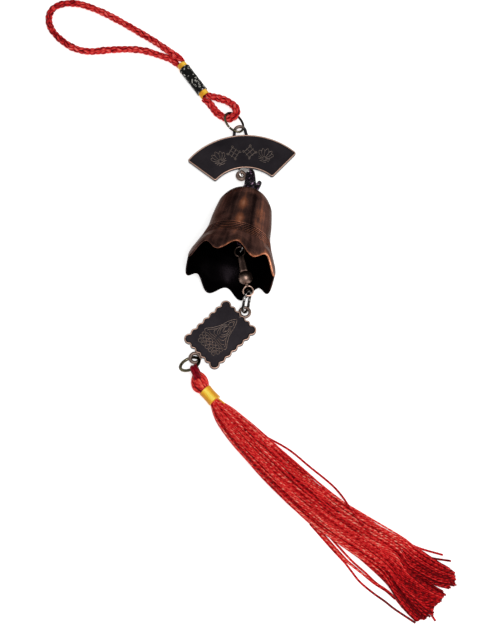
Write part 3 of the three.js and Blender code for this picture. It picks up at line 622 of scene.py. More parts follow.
def circle(radius, count, middle=(0.0, 0.0), start=0.0, sweep=360.0):
    """Points round a circle in a place's plane, or along an arc of it, from a start in degrees."""
    turn = np.radians(start + sweep * np.arange(count) / (count if sweep >= 360 else count - 1))
    return np.stack([middle[0] + radius * np.cos(turn), middle[1] + radius * np.sin(turn), 0 * turn], 1)


def jump_ring(name, place, radius, wire, split, body):
    """A wire ring whose ends meet at a fine split; split is its angle in degrees."""
    shape = Shape()
    line = place.at(circle(radius, RING_POINTS, (0, -radius), split + SPLIT / 2, 360 - SPLIT))
    wear_and_painted_light = 0.55 + 0.35 * np.sin(np.linspace(0, 9, RING_POINTS))[:, None]
    shape.tube(line, wire / 2, WIRE_SIDES, normal=place.axes[:, 2], wear_and_painted_light=wear_and_painted_light)
    shape.make(name, RING, body, [body], "ring_metal")


def oval(length, width, steps=20):
    """A link's middle line: two half circles joined by straights, with its top at the origin."""
    radius = width / 2
    points = []
    for middle, start in ((-radius, 0.0), (radius - length, math.pi)):
        for i in range(steps + 1):
            turn = start + math.pi * i / steps
            points.append([radius * math.cos(turn), middle + radius * math.sin(turn), 0.0])
    return np.array(points)


def oval_link(name, place, length, width, wire, body, wear_and_painted_light=0.6):
    shape = Shape()
    shape.tube(place.at(oval(length, width)), wire / 2, WIRE_SIDES, closed=True, normal=place.axes[:, 2],
               wear_and_painted_light=wear_and_painted_light)
    shape.make(name, LINK, body, [body], "link_metal")


jump_ring("top_jump_ring", TOP_RING, 4.9, 1.0, 200, "top_ring")
jump_ring("tag_jump_ring", TAG_RING, 4.2, 1.25, 215, "tag_ring")
# The back link's higher value paints it brighter than the other links, as highlight.
oval_link("back_oval_link", BACK_LINK, 5.3, 3.7, 1.35, "back_link", 1.0)


# Plates: a fan and a scalloped oblong, cast with raised rims and lines
PANEL_FLOOR = 0.4
FAN = Place([-28.40, 87.88, 2.99], 4.3)
FAN_OUTER = 32.4
FAN_INNER = 16.7
FAN_HALF_ANGLE = 47.3
FAN_MIDDLE = -34.3
FAN_CORNER = 1.05
FAN_LOWER_EAR = (-0.9, -21.0)
TAG = Place([-26.19, 4.96, 1.86], -45.9)
TAG_MIDDLE = -14.2
TAG_HALF_WIDTH = 7.55
TAG_HALF_LENGTH = 10.5
TAG_LOBE = 2.25
TAG_SCALLOPS = (5, 4)
SIGN_SIZE = 3.3
SIGN_RADIUS = 24.4
SIGN_WIRE = 0.32
FIGURE_WIRE = 0.28
# Rows of (inset, height, wear), from the back round the edge to the panel
RIM_PROFILE = [(0.6, -0.8, 0.1), (0.3, -0.8, 0.1), (0.08, -0.74, 0.15), (0.0, -0.55, 0.2), (0.0, 0.45, 0.3),
               (0.06, 0.66, 0.5), (0.18, 0.78, 0.95), (0.36, 0.82, 1.1), (0.52, 0.78, 0.8), (0.66, 0.6, 0.15),
               (0.76, 0.42, -0.25), (0.88, 0.4, -0.2), (1.0, 0.4, 0.1)]


def arc(radius, start, end, step, centre=(0.0, 0.0)):
    count = max(2, int(abs(math.radians(end - start)) * radius / step)) + 1
    turn = np.radians(np.linspace(start, end, count))
    return np.stack([centre[0] + radius * np.cos(turn), centre[1] + radius * np.sin(turn)], 1)


def fan_outline():
    """Round the sector's edge with rounded corners, against the clock."""
    half = FAN_HALF_ANGLE
    outer = half - math.degrees(math.asin(FAN_CORNER / (FAN_OUTER - FAN_CORNER)))
    inner = half - math.degrees(math.asin(FAN_CORNER / (FAN_INNER + FAN_CORNER)))

    far = FAN_OUTER - FAN_CORNER
    near = FAN_INNER + FAN_CORNER

    def corner(start, end, radius, angle):
        turn = math.radians(90 + angle)
        return arc(FAN_CORNER, start, end, 0.15, (radius * math.cos(turn), radius * math.sin(turn)))

    parts = [arc(FAN_OUTER, 90 - outer, 90 + outer, 0.6)[1:-1],
             corner(90 + outer, 180 + half, far, outer), corner(180 + half, 270 + inner, near, inner),
             arc(FAN_INNER, 90 + inner, 90 - inner, 0.6)[1:-1],
             corner(270 - inner, 360 - half, near, -inner), corner(-half, 90 - outer, far, -outer)]
    return np.vstack(parts) + (0, FAN_MIDDLE)


def tag_outline():
    """A lobe at each corner and small scallops between, against the clock."""
    lobe = TAG_LOBE
    signs = ((1, -1), (1, 1), (-1, 1), (-1, -1))
    corners = [(x * TAG_HALF_WIDTH, y * TAG_HALF_LENGTH) for x, y in signs]
    points = []
    for i, (x, y) in enumerate(corners):
        next_x, next_y = corners[(i + 1) % 4]
        way = math.atan2(next_y - y, next_x - x)
        for k in range(17):
            turn = way - math.pi * (1.29 - 1.08 * k / 16)
            points.append((x + lobe * math.cos(turn), y + lobe * math.sin(turn)))
        count = TAG_SCALLOPS[i % 2]
        reach = 0.79 * lobe
        pitch = (math.hypot(next_x - x, next_y - y) - 2 * reach) / count
        for k in range(count):
            for step in np.linspace(0.05, 0.95, 9):
                far = reach + (k + step) * pitch
                bulge = 1.35 + 0.8 * math.sin(math.pi * step)
                points.append((x + far * math.cos(way) + bulge * math.sin(way),
                               y + far * math.sin(way) - bulge * math.cos(way)))
    return np.array(points) + (0, TAG_MIDDLE)


def plate_body(shape, place, outline):
    """A plate inside an outline, with a raised rim round a sunk panel."""
    way = ways(outline, closed=True)
    inward = np.stack([-way[:, 1], way[:, 0]], 1)
    rings = []
    for inset, z, _ in RIM_PROFILE:
        flat = outline + inward * inset
        rings.append(place.at(np.column_stack([flat, np.full(len(flat), z)])))
    wear_and_painted_light = np.array([w for _, _, w in RIM_PROFILE])[:, None]
    shape.surface(rings, wear_and_painted_light=wear_and_painted_light)


def stroke(shape, place, points, width, wear_and_painted_light):
    """A raised line on a plate's panel."""
    line = curve(np.column_stack([points, np.full(len(points), PANEL_FLOOR + 0.02)]), 0.25)
    line = place.at(line)
    size = np.full(len(line), width / 2)
    size[[0, -1]] *= 0.4
    shape.tube(line, size, 8, flat=0.8, normal=place.axes[:, 2], wear_and_painted_light=wear_and_painted_light)


def ear_ring(shape, place, centre, radius, wire, foot):
    """A cast ear: a ring of wire with a short foot to its plate; foot is 1 upwards or -1 downwards."""
    line = place.at(circle(radius, 40, centre))
    shape.tube(line, wire / 2, 12, closed=True, normal=place.axes[:, 2], wear_and_painted_light=0.62)
    x, y = centre
    ends = [[x, y + foot * radius * 0.95, 0], [x, y + foot * (radius + 1.5), 0]]
    shape.tube(place.at(ends), [0.75, 1.15], 12, flat=0.5, normal=place.axes[:, 2], wear_and_painted_light=0.3)


def mirrored(strokes):
    return strokes + [[(-x, y) for x, y in line] for line in strokes]


def blossom():
    """An open lotus over two ripples."""
    lines = [[(0, 0.95), (0.26, 0.5), (0.2, 0.05), (0, -0.3), (-0.2, 0.05), (-0.26, 0.5), (0, 0.95)]]
    lines += mirrored([
        [(0.25, 0.45), (0.62, 0.72), (0.66, 0.25), (0.42, -0.1), (0.08, -0.36)],
        [(0.66, 0.36), (1.0, 0.3), (0.88, -0.05), (0.55, -0.3), (0.12, -0.45)],
        [(0.1, -0.52), (0.5, -0.5), (0.85, -0.42)],
    ])
    lines += [[(-0.75, -0.72), (-0.4, -0.66), (0, -0.74), (0.4, -0.66), (0.75, -0.72)],
              [(-0.5, -0.94), (-0.2, -0.88), (0.1, -0.95), (0.45, -0.9)]]
    return lines


def knot_sign():
    """An endless knot: a lattice on its corner with a loop at each side."""
    lines = []
    for k in (-0.36, 0.0, 0.36):
        lines.append([(k - 0.48, k * -1 - 0.48), (k, -k), (k + 0.48, 0.48 - k)])
        lines.append([(k - 0.48, k + 0.48), (k, k), (k + 0.48, k - 0.48)])
    for x, y in ((0.84, 0), (-0.84, 0), (0, 0.84), (0, -0.84)):
        lines.append([(x * 0.86 + y * 0.2, y * 0.86 + x * 0.2), (x * 1.16, y * 1.16),
                      (x * 0.86 - y * 0.2, y * 0.86 - x * 0.2)])
    return lines


def fan_plate():
    """The sector with an arched ear above, a ring ear below and four generic signs."""
    shape = Shape()
    plate_body(shape, FAN, fan_outline())
    arch = [(-3.3, -2.9, 0), (-2.75, -1.9, 0), (-2.5, -0.7, 0), (-2.2, 0.9, 0), (-1.3, 2.05, 0), (0, 2.45, 0),
            (1.3, 2.05, 0), (2.2, 0.9, 0), (2.5, -0.7, 0), (2.75, -1.9, 0), (3.3, -2.9, 0)]
    line = curve(arch, 0.25)
    wear_and_painted_light = 0.2 + 0.35 * smoothstep(line[:, 1], 0.3, 2.2)
    shape.tube(FAN.at(line), 0.7, 12, normal=FAN.axes[:, 2], wear_and_painted_light=wear_and_painted_light[:, None])
    ear_ring(shape, FAN, FAN_LOWER_EAR, 1.65, 1.7, 1)
    for angle, lines in ((-24.5, blossom()), (-8, knot_sign()), (8.3, knot_sign()), (24.8, blossom())):
        turn = -math.radians(angle)
        for line in lines:
            points = SIGN_SIZE * np.array(line) * (1.0, 1.1) + (0, SIGN_RADIUS)
            x = points[:, 0] * math.cos(turn) - points[:, 1] * math.sin(turn)
            y = points[:, 0] * math.sin(turn) + points[:, 1] * math.cos(turn) + FAN_MIDDLE
            stroke(shape, FAN, np.stack([x, y], 1), SIGN_WIRE, 0.48)
    shape.make("fan_plate_cast", PLATE, "fan_plate", ["fan_plate"], "plate_metal")


def seated_figure():
    """A robed figure with a plain head on a lotus seat of pearls, in millimetres about the panel's middle."""
    def ring(x, y, across, down):
        return [(x + across * math.cos(t), y + down * math.sin(t)) for t in np.linspace(0, 2 * math.pi, 15)]

    lines = [ring(0, 6.3, 0.95, 1.15), [(-0.55, 7.3), (0, 8.2), (0.55, 7.3)]]
    lines += mirrored([
        [(0, 9.6), (0.9, 8.4), (1.9, 6.2), (2.5, 3.8), (3.3, 1.8), (4.6, -0.4), (6.1, -2.4), (6.0, -3.3),
         (5.2, -3.6)],
        [(0.7, 5.2), (1.5, 4.6), (2.2, 3.3), (2.5, 1.6), (3.5, -0.2), (4.9, -1.9), (5.2, -2.7)],
        [(0.4, 5.0), (0.9, 3.6), (0.5, 2.2), (0, 1.5)],
        [(1.0, 4.6), (1.6, 2.9), (1.3, 1.1), (0.3, 0.1)],
        [(1.9, 2.6), (2.0, 0.9), (1.3, -0.3), (0.3, -0.7)],
        [(2.6, 0.6), (2.9, -0.7), (1.9, -1.5), (0.4, -1.5)],
        [(4.4, -2.0), (3.2, -2.6), (1.6, -2.4), (0.3, -2.2)],
        [(5.2, -3.6), (3.6, -3.3), (1.6, -3.3), (0, -3.0)],
        [(0.45, 3.2), (0.45, 1.9)],
    ])
    for y, count, width in ((-4.6, 6, 2.0), (-6.2, 6, 1.95), (-7.8, 5, 2.0)):
        for k in range(count):
            lines.append(ring((k - (count - 1) / 2) * width, y, 0.82, 0.68))
    return lines


def tag_plate():
    """The scalloped oblong with a ring ear at each end and the figure between."""
    shape = Shape()
    plate_body(shape, TAG, tag_outline())
    ear_ring(shape, TAG, (0, 0), 2.1, 1.3, -1)
    ear_ring(shape, TAG, (0, 2 * TAG_MIDDLE - 0.3), 2.0, 1.5, 1)
    for line in seated_figure():
        stroke(shape, TAG, np.array(line) + (0, TAG_MIDDLE), FIGURE_WIRE, 0.54)
    shape.make("tag_plate_cast", PLATE, "tag_plate", ["tag_plate"], "plate_metal")


fan_plate()
tag_plate()


# Bell: one cast wall with eight petals, lines round its waist and a rubbed lip, with highlight and shade
# painted on by angle
BELL_PLACE = Place([-24.6, 55.7, 9.45], -11, 13.3)
BELL_LENGTH = 42.2
BELL_WALL = 1.1
BELL_HOLE = 2.0
BELL_SIDES = 240
# Rows of (share of the length, radius)
BELL_PROFILE = [(0.0, 4.0), (0.05, 7.8), (0.1, 9.6), (0.18, 11.4), (0.27, 12.1), (0.38, 12.8), (0.5, 13.2),
                (0.58, 13.8), (0.68, 15.0), (0.77, 16.6), (0.87, 18.0), (1.0, 19.0)]
PETALS = 8
PETAL_DEPTH = 5.0
PETAL_FLUTE = 0.6
PETAL_TURN = math.radians(17)
PROFILE_BLUR = 0.022
# The lines' first and last place and their pitch, as shares of the length
WAIST_LINES = (0.595, 0.725, 0.026)
RIB_HEIGHT = 0.13
BASE_WEAR = 0.25


def bell_radius(share):
    """The profile with its corners smoothed."""
    places, radii = zip(*BELL_PROFILE)
    spots = np.clip(share[:, None] + np.linspace(-PROFILE_BLUR, PROFILE_BLUR, 9)[None, :], 0, 1)
    return np.interp(spots, places, radii).mean(1)


def bell_rings(shares, depth, wall):
    """Petalled rings at shares of the length below a depth, set in from the profile by a wall."""
    turn = full_turn(BELL_SIDES)
    flare = smoothstep(shares, 0.6, 1)[:, None]
    notch = flare * (0.5 - 0.5 * np.cos(PETALS * turn))[None, :]
    radius = bell_radius(shares)[:, None] - wall[:, None] - PETAL_FLUTE * notch
    down = (depth + shares * (BELL_LENGTH - depth))[:, None] - PETAL_DEPTH * flare * notch
    place = turn[None, :] + PETAL_TURN
    local = np.stack([radius * np.sin(place), -down, -radius * np.cos(place)], -1)
    return BELL_PLACE.at(local.reshape(-1, 3)).reshape(local.shape)


def bell_shell():
    """The wall's outside from the crown's hole to the lip and its inside back to the hole."""
    shape = Shape()
    shares = np.unique(np.r_[np.linspace(0, 0.12, 14), np.linspace(0.12, 1, 90), np.linspace(0.58, 0.73, 60)])
    first, last, pitch = WAIST_LINES
    waist = smoothstep(shares, first - 0.01, first) * (1 - smoothstep(shares, last, last + 0.01))
    ribs = waist * np.cos(2 * math.pi * (shares - first) / pitch)
    outside = bell_rings(shares, 0.0, -RIB_HEIGHT * ribs)
    inner_shares = shares[::-1]
    inside = bell_rings(inner_shares, BELL_WALL, BELL_WALL - 0.45 * smoothstep(inner_shares, 0.5, 1))
    lip = (outside[-1] + inside[0]) / 2 + BELL_PLACE.axes @ np.array([0, -0.18, 0])
    turn = full_turn(BELL_SIDES) + PETAL_TURN
    hole = [BELL_PLACE.at(np.stack([BELL_HOLE * np.sin(turn), np.full(BELL_SIDES, y),
                                    -BELL_HOLE * np.cos(turn)], 1)) for y in (-BELL_WALL, 0.0)]
    around = np.degrees(turn % (2 * math.pi))

    def band(middle, width):
        """A soft stripe down the bell at an angle round it; 180 is its top as it lies."""
        return np.exp(-((around - middle) / width) ** 2)[None, :]

    # Painted light, set by the angle round the bell as it lies: the copper stripes at 180, its top, and at
    # 143 are partly burnished metal and partly painted highlight where the lamps shine; the dark line at 160
    # is painted shade between them, and the left side at 235 is painted darker as shade.
    upper = (smoothstep(shares, 0.13, 0.29) * (1 - 0.75 * smoothstep(shares, 0.5, 0.72)))[:, None]
    # The lip is rubbed bright all round, with painted highlight on its top and its right.
    lip_wear_and_highlight = 0.05 + 0.42 * band(180, 50) + 0.55 * band(112, 30)
    patchy = (0.75 + 0.35 * np.sin(shares * 30 - 2.4))[:, None]
    streaks = patchy * 0.5 * band(180, 8) + 0.2 * band(143, 12) - 0.1 * band(160, 5)
    outer_wear_and_light = BASE_WEAR - 0.1 * band(235, 38) + upper * streaks
    # The waist's ridges are lighter, partly rubbed bright and partly painted highlight.
    outer_wear_and_light = outer_wear_and_light + (0.3 * ribs - 0.06 * waist)[:, None]
    outer_wear_and_light = outer_wear_and_light + smoothstep(shares, 0.97, 1)[:, None] * (lip_wear_and_highlight - BASE_WEAR)
    # More copper on the flare's right side, partly rubbing and partly painted highlight.
    outer_wear_and_light = outer_wear_and_light + (0.25 * smoothstep(shares, 0.9, 1))[:, None] * band(115, 30)
    # The inside is near black, partly dark patina and partly painted shade in the hollow, up to the rubbed
    # lip.
    inner_wear_and_shade = -0.6 + smoothstep(inner_shares, 0.985, 1)[:, None] * (lip_wear_and_highlight + 0.4)
    rings = np.concatenate([[hole[1]], outside, [lip], inside, [hole[0]]])
    row = np.ones((1, BELL_SIDES))
    wear_and_painted_light = np.concatenate([0.1 * row, outer_wear_and_light, lip_wear_and_highlight + 0.1, inner_wear_and_shade, -0.6 * row])
    shape.surface(rings, closed=True, wear_and_painted_light=wear_and_painted_light)
    shape.make("bell_shell_cast", BELL, "bell", ["bell_shell"], "bell_metal")


bell_shell()


# Satin cord from the fan plate's link to the bell
KNOT = BELL_PLACE.at([[0, 2.73, 0]])[0]
SATIN_HOLD = np.array([-23.85, 67.2, 4.3])
SATIN_TURNS = 2.4
SATIN_BALLS = ((-1.67, 1.5, 1.0), (-4.1, 2.4, 0.6))


def satin_cord():
    """A loop up to the link, the knot's turns on the crown, its tail, and the stop knot inside the bell."""
    shape = Shape()
    to_hold = unit(SATIN_HOLD - KNOT)
    right = unit(np.cross(to_hold, (0, 0, 1)))
    over = np.cross(right, to_hold)
    reach = np.linalg.norm(SATIN_HOLD - KNOT)

    def spot(x, y, z=0.0):
        return KNOT + right * x + to_hold * y + over * z

    loop = curve([spot(-0.7, -1.5), spot(-1.3, 1.2, 0.7), spot(-1.2, reach * 0.5, 0.3),
                  spot(-0.8, reach + 0.6), spot(0.0, reach + 1.9, -0.2), spot(0.8, reach + 0.6),
                  spot(1.4, reach * 0.5, 0.3), spot(1.5, 1.2, 0.7), spot(0.7, -1.5)], 0.3)
    shape.tube(loop, 1.1, 12)
    shape.tube([spot(0.1, y, 0.6) for y in np.linspace(-1.0, reach + 1.0, 12)], 0.9, 12, number=5)
    turns = np.linspace(0, 2 * math.pi * SATIN_TURNS, 70)
    wraps = [spot(2.1 * math.cos(t), -1.6 + 1.35 * t / math.pi / 2, 1.9 * math.sin(t)) for t in turns]
    shape.tube(curve(wraps, 0.4), 0.95, 12, number=1)
    over_knot = [spot(-1.6, -1.3, 1.6), spot(-0.2, 0.4, 2.6), spot(1.5, 1.6, 1.7), spot(2.2, 2.4, 0.2)]
    shape.tube(curve(over_knot, 0.4), 0.95, 12, number=2)
    tail = curve([spot(0.6, -0.6, 2.0), on_floor(255.6, 189.3, 10.4), on_floor(257.9, 186.6, 10.4),
                  on_floor(259.2, 183.8, 9.8), on_floor(259.7, 181.6, 9.2)], 0.3)
    size = np.full(len(tail), 1.0)
    size[-3:] = (0.95, 0.8, 0.45)
    shape.tube(tail, size, 12, number=3)
    for y, radius, flat in SATIN_BALLS:
        shape.surface(lathe_rings(BELL_PLACE, ball(y, radius, flat, 12, 0.05), 20), number=4)
    shape.make("satin_knot", SATIN, "satin_cord", ["satin_cord"], "satin")


satin_cord()


# What hangs in the bell and out of it
CLAPPER_CORD = Place([-25.62, 50.47, 10.71], -9.2, -9.2, 40)
INNER_LINK = Place([-28.14, 34.90, 8.16], -2, -6, -50)
CLAPPER_PLACE = Place([-28.31, 29.93, 7.63], 12, -5)
LOWER_LINK = Place([-24.71, 12.98, 6.12], -10.5, -27.6, 64)
CLAPPER_LENGTH = 17.4
CLAPPER_EYE = 2.1
BALL_PLACE = 11.6
BALL_RADIUS = 3.0
# Rows of (y, half width, half thickness), from the eye to the ball
STEM = [(-1.9, 0.9, 0.5), (-2.6, 1.3, 0.55), (-4.0, 1.35, 0.5), (-8.0, 1.55, 0.5), (-9.6, 1.7, 0.7)]


def clapper():
    """The doubled cord, its link, the clapper and the link below it."""
    cord = Shape()
    cord.tube(CLAPPER_CORD.at(oval(17.6, 3.1)), 0.65, 10, closed=True, normal=CLAPPER_CORD.axes[:, 2])
    cord.make("clapper_satin_cord", SATIN, "clapper_cord", ["clapper_cord"], "satin")
    oval_link("inner_oval_link", INNER_LINK, 5.0, 3.7, 0.8, "inner_link")
    oval_link("lower_oval_link", LOWER_LINK, 9.2, 4.3, 1.2, "lower_link")

    shape = Shape()
    up = CLAPPER_PLACE.axes[:, 2]
    for y, wear_and_painted_light in ((0.0, 0.45), (-CLAPPER_LENGTH, 0.95)):
        eye = CLAPPER_PLACE.at(circle(CLAPPER_EYE, 40, (0, y)))
        shape.tube(eye, 0.36, 12, closed=True, normal=up, wear_and_painted_light=wear_and_painted_light)
    turn = full_turn(16)
    wide = np.sign(np.cos(turn)) * np.abs(np.cos(turn)) ** 0.6
    deep = np.sign(np.sin(turn)) * np.abs(np.sin(turn)) ** 0.6
    rings = [CLAPPER_PLACE.at(np.stack([half * wide, np.full(len(turn), y), thick * deep], 1))
             for y, half, thick in STEM]
    shape.surface(rings, wear_and_painted_light=0.3 + 0.5 * np.abs(np.cos(turn))[None, :])
    round_end = ball(-BALL_PLACE, BALL_RADIUS, 1.0, 22, 0.12)
    shape.surface(lathe_rings(CLAPPER_PLACE, round_end, 32), wear_and_painted_light=0.6)
    neck = CLAPPER_PLACE.at([[0, -BALL_PLACE - 2.6, 0], [0, -BALL_PLACE - 3.9, 0]])
    shape.tube(neck, [1.0, 0.6], 12, wear_and_painted_light=0.5)
    shape.make("clapper_cast", CLAPPER, "clapper", ["clapper"], "bell_metal")


clapper()


# Tassel: a dark loop, folded yarns, a wound neck and the hanging yarns
TASSEL_LOOP = Place([-46.96, -20.55, 6.11], 26, -27, 75)
TASSEL = Place([-42.56, -29.10, 3.15], 41.5, -1)
HEAD_LENGTH = 8.5
HEAD_RADIUS = 3.7
HEAD_FLAT = 0.82
HEAD_LEAN = math.radians(13)
HEAD_STEPS = 26
HEAD_STRANDS = 21
# Rows of (share of the radius, share of the length), from the neck up
HEAD_PROFILE = [(0.62, -0.05), (0.72, 0.07), (0.9, 0.2), (1.0, 0.35), (0.99, 0.48), (0.89, 0.64), (0.7, 0.78),
                (0.46, 0.9), (0.22, 1.0)]
SKIRT_YARNS = 250
SKIRT_BUNDLES = 24
SKIRT_STEP = 1.0
GOLDEN_TURN = 2.39996
ANY_PHASE = (0, 6.28)
LOOSE_RADIUS = 0.44
LOOSE_HEIGHT = 0.5
LOOSE_FIRST = 300
# Rows of (x, y, half width, height)
SKIRT = np.array([[-38.2, -34.6, 2.4, 4.4], [-35.7, -37.8, 4.1, 4.8], [-32.5, -41.6, 5.3, 5.0],
                  [-25.8, -49.1, 6.5, 5.2], [-15.3, -59.9, 7.1, 5.2], [-4.4, -70.2, 7.4, 5.0],
                  [7.1, -79.9, 7.6, 4.8], [19.6, -88.5, 8.0, 4.6], [31.9, -97.2, 9.2, 4.2]])
# Rows of (share across the skirt, x, y), where x and y are pixels of the photograph
ROOTS = [(0.0, 418, 548), (1.0, 395, 597)]
SPLITS = [(0.0, 436, 560), (0.38, 434, 581), (0.42, 430, 586), (0.72, 423, 603), (0.78, 422, 608),
          (0.81, 415, 608), (1.0, 404, 610)]
TIPS = [(0.0, 453, 570), (0.39, 456, 586), (0.41, 445, 594), (0.72, 437, 606), (0.74, 434, 612),
        (0.78, 434, 616), (0.81, 425, 620), (1.0, 416, 622)]
# Points (x, y) in the same pixels, some with a height in millimetres
LOOSE_YARNS = [
    [(258, 433.5), (270, 439), (290, 450.5), (310, 467), (325, 479), (335, 488, 1.5), (343, 497.5, 4.4),
     (350, 508, 5.6), (358, 519, 5.6), (372, 536, 5.0)],
    [(405, 541), (414, 546), (425, 550), (443, 555)],
    [(424, 556), (434, 558.5), (451, 561)],
    [(292, 505), (300, 514), (312, 525), (320, 533), (329, 543), (338, 553), (346, 561), (355, 568),
     (372, 581), (385, 589), (395, 598), (403, 608)],
    [(294, 506), (302, 514), (314, 525), (322, 533), (331, 543), (340, 553), (348, 561.5), (357, 569),
     (373, 582.5), (386, 591), (395, 599)],
    [(318, 526), (328, 535), (338, 546), (352, 561), (365, 572.5), (375, 582), (388, 592)],
    [(310, 524), (318, 533), (325, 541), (333, 550), (341, 558.5), (345.5, 563.5), (352, 572), (360, 582),
     (372.7, 592.7), (385, 601.5), (394.5, 609), (415.5, 623)],
    [(420, 600), (428, 610), (435.5, 621)],
]


def tassel_top():
    """The loop in the ring, the folded yarns that it holds, and the winding under them with its loose end."""
    loop = Shape()
    for shift in (-0.6, 0.6):
        line = TASSEL_LOOP.at(oval(7.4, 3.4) + (0, 0.4, shift))
        loop.tube(line, 0.95, 12, closed=True, normal=TASSEL_LOOP.axes[:, 2], number=shift > 0)
    loop.make("tassel_loop_cord", DARK_RED_BRAID, "tassel", ["tassel_hanger_loop"], "dark_red_cord")

    head = Shape()
    radii, shares = zip(*HEAD_PROFILE)
    fine = np.linspace(shares[0], shares[-1], HEAD_STEPS)
    radius = np.interp(fine, shares, radii) * HEAD_RADIUS
    bend = math.tan(HEAD_LEAN) * np.clip(fine, 0, 1) ** 2 * HEAD_LENGTH

    def along(angle, scale, turn):
        """A line up the head at an angle round it, which turns by some more towards the neck."""
        theta = angle + turn * (1 - fine)
        return TASSEL.at(np.stack([scale * radius * np.cos(theta) + bend, fine * HEAD_LENGTH,
                                   scale * radius * np.sin(theta) * HEAD_FLAT], 1))

    # The core under the strands is painted dark, as shade in the gaps between them.
    core = [along(angle, 0.84, 0.0) for angle in full_turn(20)]
    head.surface(np.stack(core, 1), wear_and_painted_light=-0.5)
    for i in range(HEAD_STRANDS):
        angle = 2 * math.pi * i / HEAD_STRANDS + rng.uniform(-0.08, 0.08)
        high = rng.uniform(0.0, 1.0)
        size = np.clip((0.13 + 0.03 * high) * radius + 0.05, 0.2, 0.62)
        line = along(angle, 0.83 + 0.09 * high, rng.uniform(-0.3, 0.3))
        under_loop = abs(angle - math.pi / 2) < 0.35
        kept = 18 if under_loop else HEAD_STEPS
        # Painted highlight on strands that stand higher, painted shade on lower ones, and painted shadow
        # toward the top of those under the loop.
        shade = 0.35 * under_loop * smoothstep(fine[:kept, None], 0.3, 0.7)
        head.tube(line[:kept], size[:kept], 10, number=i, wear_and_painted_light=0.5 * high - 0.15 - shade)
    head.make("tassel_head_yarns", HEAD_YARN, "tassel", ["tassel_head"], "red_cord")

    neck = Shape()
    coil(neck, TASSEL, lambda y: 2.56 + 0.018 * (y + 3.1) ** 2, -0.2, -6.2, 0.27, 0.36, shine=0.75, lit=-0.15)
    wrap_lathe(neck, TASSEL, [(1.8, -0.1), (2.5, -0.2), (2.5, -3), (2.5, -6.2), (1.8, -6.3)])
    end = curve([on_floor(217.0, 397.9, 4.9), on_floor(220.6, 400.3, 4.9), on_floor(224.7, 403.7, 4.6)], 0.3)
    neck.tube(end, 0.3, 8, number=1)
    neck.make("tassel_yellow_wrap", YELLOW_THREAD, "tassel", ["tassel_binding"], "yellow_thread")


def on_line(line, share, z):
    """A point part of the way along a row of pixels of the photograph."""
    places, x, y = zip(*line)
    return on_floor(np.interp(share, places, x), np.interp(share, places, y), z)


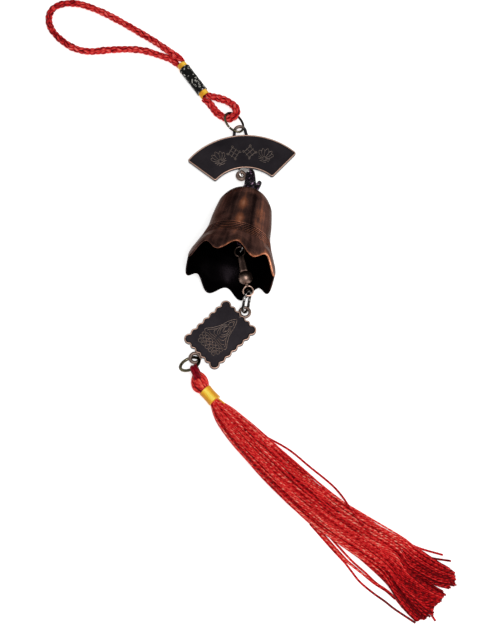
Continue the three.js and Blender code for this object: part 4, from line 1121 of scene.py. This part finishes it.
def tassel_skirt():
    """Yarns in bundles that wander over and under each other, and part at the tips."""
    start = TASSEL.at([[0, -5.9, 0]])[0]
    way = ways(SKIRT[:, :2])
    side = np.stack([-way[:, 1], way[:, 0]], 1)
    far = length_along(SKIRT[:, :2])
    ease = smoothstep(far, 2, 30)
    sway = [(rng.uniform(0.035, 0.07), rng.uniform(*ANY_PHASE), rng.uniform(*ANY_PHASE))
            for _ in range(SKIRT_BUNDLES)]
    lengths = [rng.uniform(0.86, 1.04) for _ in range(SKIRT_BUNDLES)]
    skirt, more, loose = Shape(), Shape(), Shape()
    for i in range(SKIRT_YARNS):
        r = math.sqrt((i + 0.5) / SKIRT_YARNS)
        a = r * math.cos(i * GOLDEN_TURN)
        b = r * math.sin(i * GOLDEN_TURN)
        bundle = int((0.5 + 0.499 * a) * SKIRT_BUNDLES + 3 * (b > 0.2)) % SKIRT_BUNDLES
        rate, first, second = sway[bundle]
        own = rng.uniform(*ANY_PHASE)
        places = a + ease * (0.10 * np.sin(rate * far + first) + 0.05 * np.sin(0.11 * far + own))
        lifts = b + ease * (0.22 * np.sin(rate * 1.3 * far + second) + 0.12 * np.sin(0.13 * far + 2 * own))
        places = np.clip(places, -1, 1)
        lifts = np.clip(lifts, -1, 1)
        across_by = side * (places * (SKIRT[:, 2] - 0.3))[:, None]
        heights = 0.42 + (SKIRT[:, 3] - 0.8) * 0.5 * (1 + lifts)
        points = np.column_stack([SKIRT[:, :2] + across_by, heights])
        share = min(max(0.5 - 0.5 * a * (1 + 0.25 * (1 - r)), 0.0), 1.0)
        top = 0.42 + 1.2 * (1 + lifts[-1])
        tip = on_line(TIPS, share, 0.4 + 0.35 * top)
        split = on_line(SPLITS, share, 0.4 + 0.6 * top)
        tip = split + (tip - split) * lengths[bundle] * rng.uniform(0.82, 1.06)
        neck = start + TASSEL.axes[:, 0] * a * 1.8 + TASSEL.axes[:, 2] * b * 1.6
        line = curve([neck, *points, on_line(ROOTS, share, 0.4 + 0.9 * top), split, tip], SKIRT_STEP)
        along = length_along(line)
        size = (0.24 + 0.13 * smoothstep(along, 0, 24)) * (1 + 0.06 * np.sin(along * 2.1 + i))
        (skirt, more)[i % 2].tube(line, size, 6, number=i)
    for k, pixels in enumerate(LOOSE_YARNS):
        spots = [spot if len(spot) > 2 else (*spot, LOOSE_HEIGHT) for spot in pixels]
        line = curve([on_floor(*spot) for spot in spots], SKIRT_STEP)
        loose.tube(line, LOOSE_RADIUS, 8, number=LOOSE_FIRST + k, wear_and_painted_light=0.15)
    for shape, name in ((skirt, "skirt_yarns"), (more, "skirt_yarns_more"), (loose, "loose_yarns")):
        shape.make(f"tassel_{name}", TASSEL_YARN, "tassel", ["tassel_skirt"], "red_cord")


tassel_top()
tassel_skirt()


# Floor, world and lights, in metres
FLOOR_HALF = 3.0


def area_light(name, place, aim, size, power):
    data = bpy.data.lights.new(name, "AREA")
    data.shape = "RECTANGLE"
    data.size, data.size_y = size
    data.energy = power
    lamp = new_object(name, data)
    lamp.location = place
    lamp.rotation_euler = (Vector(aim) - Vector(place)).to_track_quat("-Z", "Y").to_euler()
    lamp.visible_camera = False


def studio():
    """A white paper floor that gives off some light, an even white world, and two soft lights."""
    mesh = bpy.data.meshes.new("floor")
    corners = [(x * FLOOR_HALF, y * FLOOR_HALF, 0) for x, y in ((-1, -1), (1, -1), (1, 1), (-1, 1))]
    mesh.from_pydata(corners, [], [(0, 1, 2, 3)])
    material, _, shader = new_material("floor_paper", Roughness=0.9, Specular_IOR_Level=0.1)
    shader.inputs["Base Color"].default_value = srgb("F7F7F6")
    shader.inputs["Emission Color"].default_value = srgb("FFFFFF")
    shader.inputs["Emission Strength"].default_value = 0.5
    mesh.materials.append(material)
    floor = new_object("floor", mesh)
    world = bpy.data.worlds.new("studio")
    bpy.context.scene.world = world
    world.use_nodes = True
    background = world.node_tree.nodes["Background"]
    background.inputs["Color"].default_value = srgb("FFFFFF")
    background.inputs["Strength"].default_value = 0.35
    area_light("overhead", (0.11, -0.3, 0.95), (-0.024, 0.005, 0.0), (0.34, 0.7), 5.9)
    area_light("side", (0.77, -0.04, 0.2), (-0.024, 0.0, 0.0), (0.5, 0.3), 2.0)
    scene = bpy.context.scene
    scene.view_settings.view_transform = "Standard"
    scene.view_settings.look = "None"


studio()
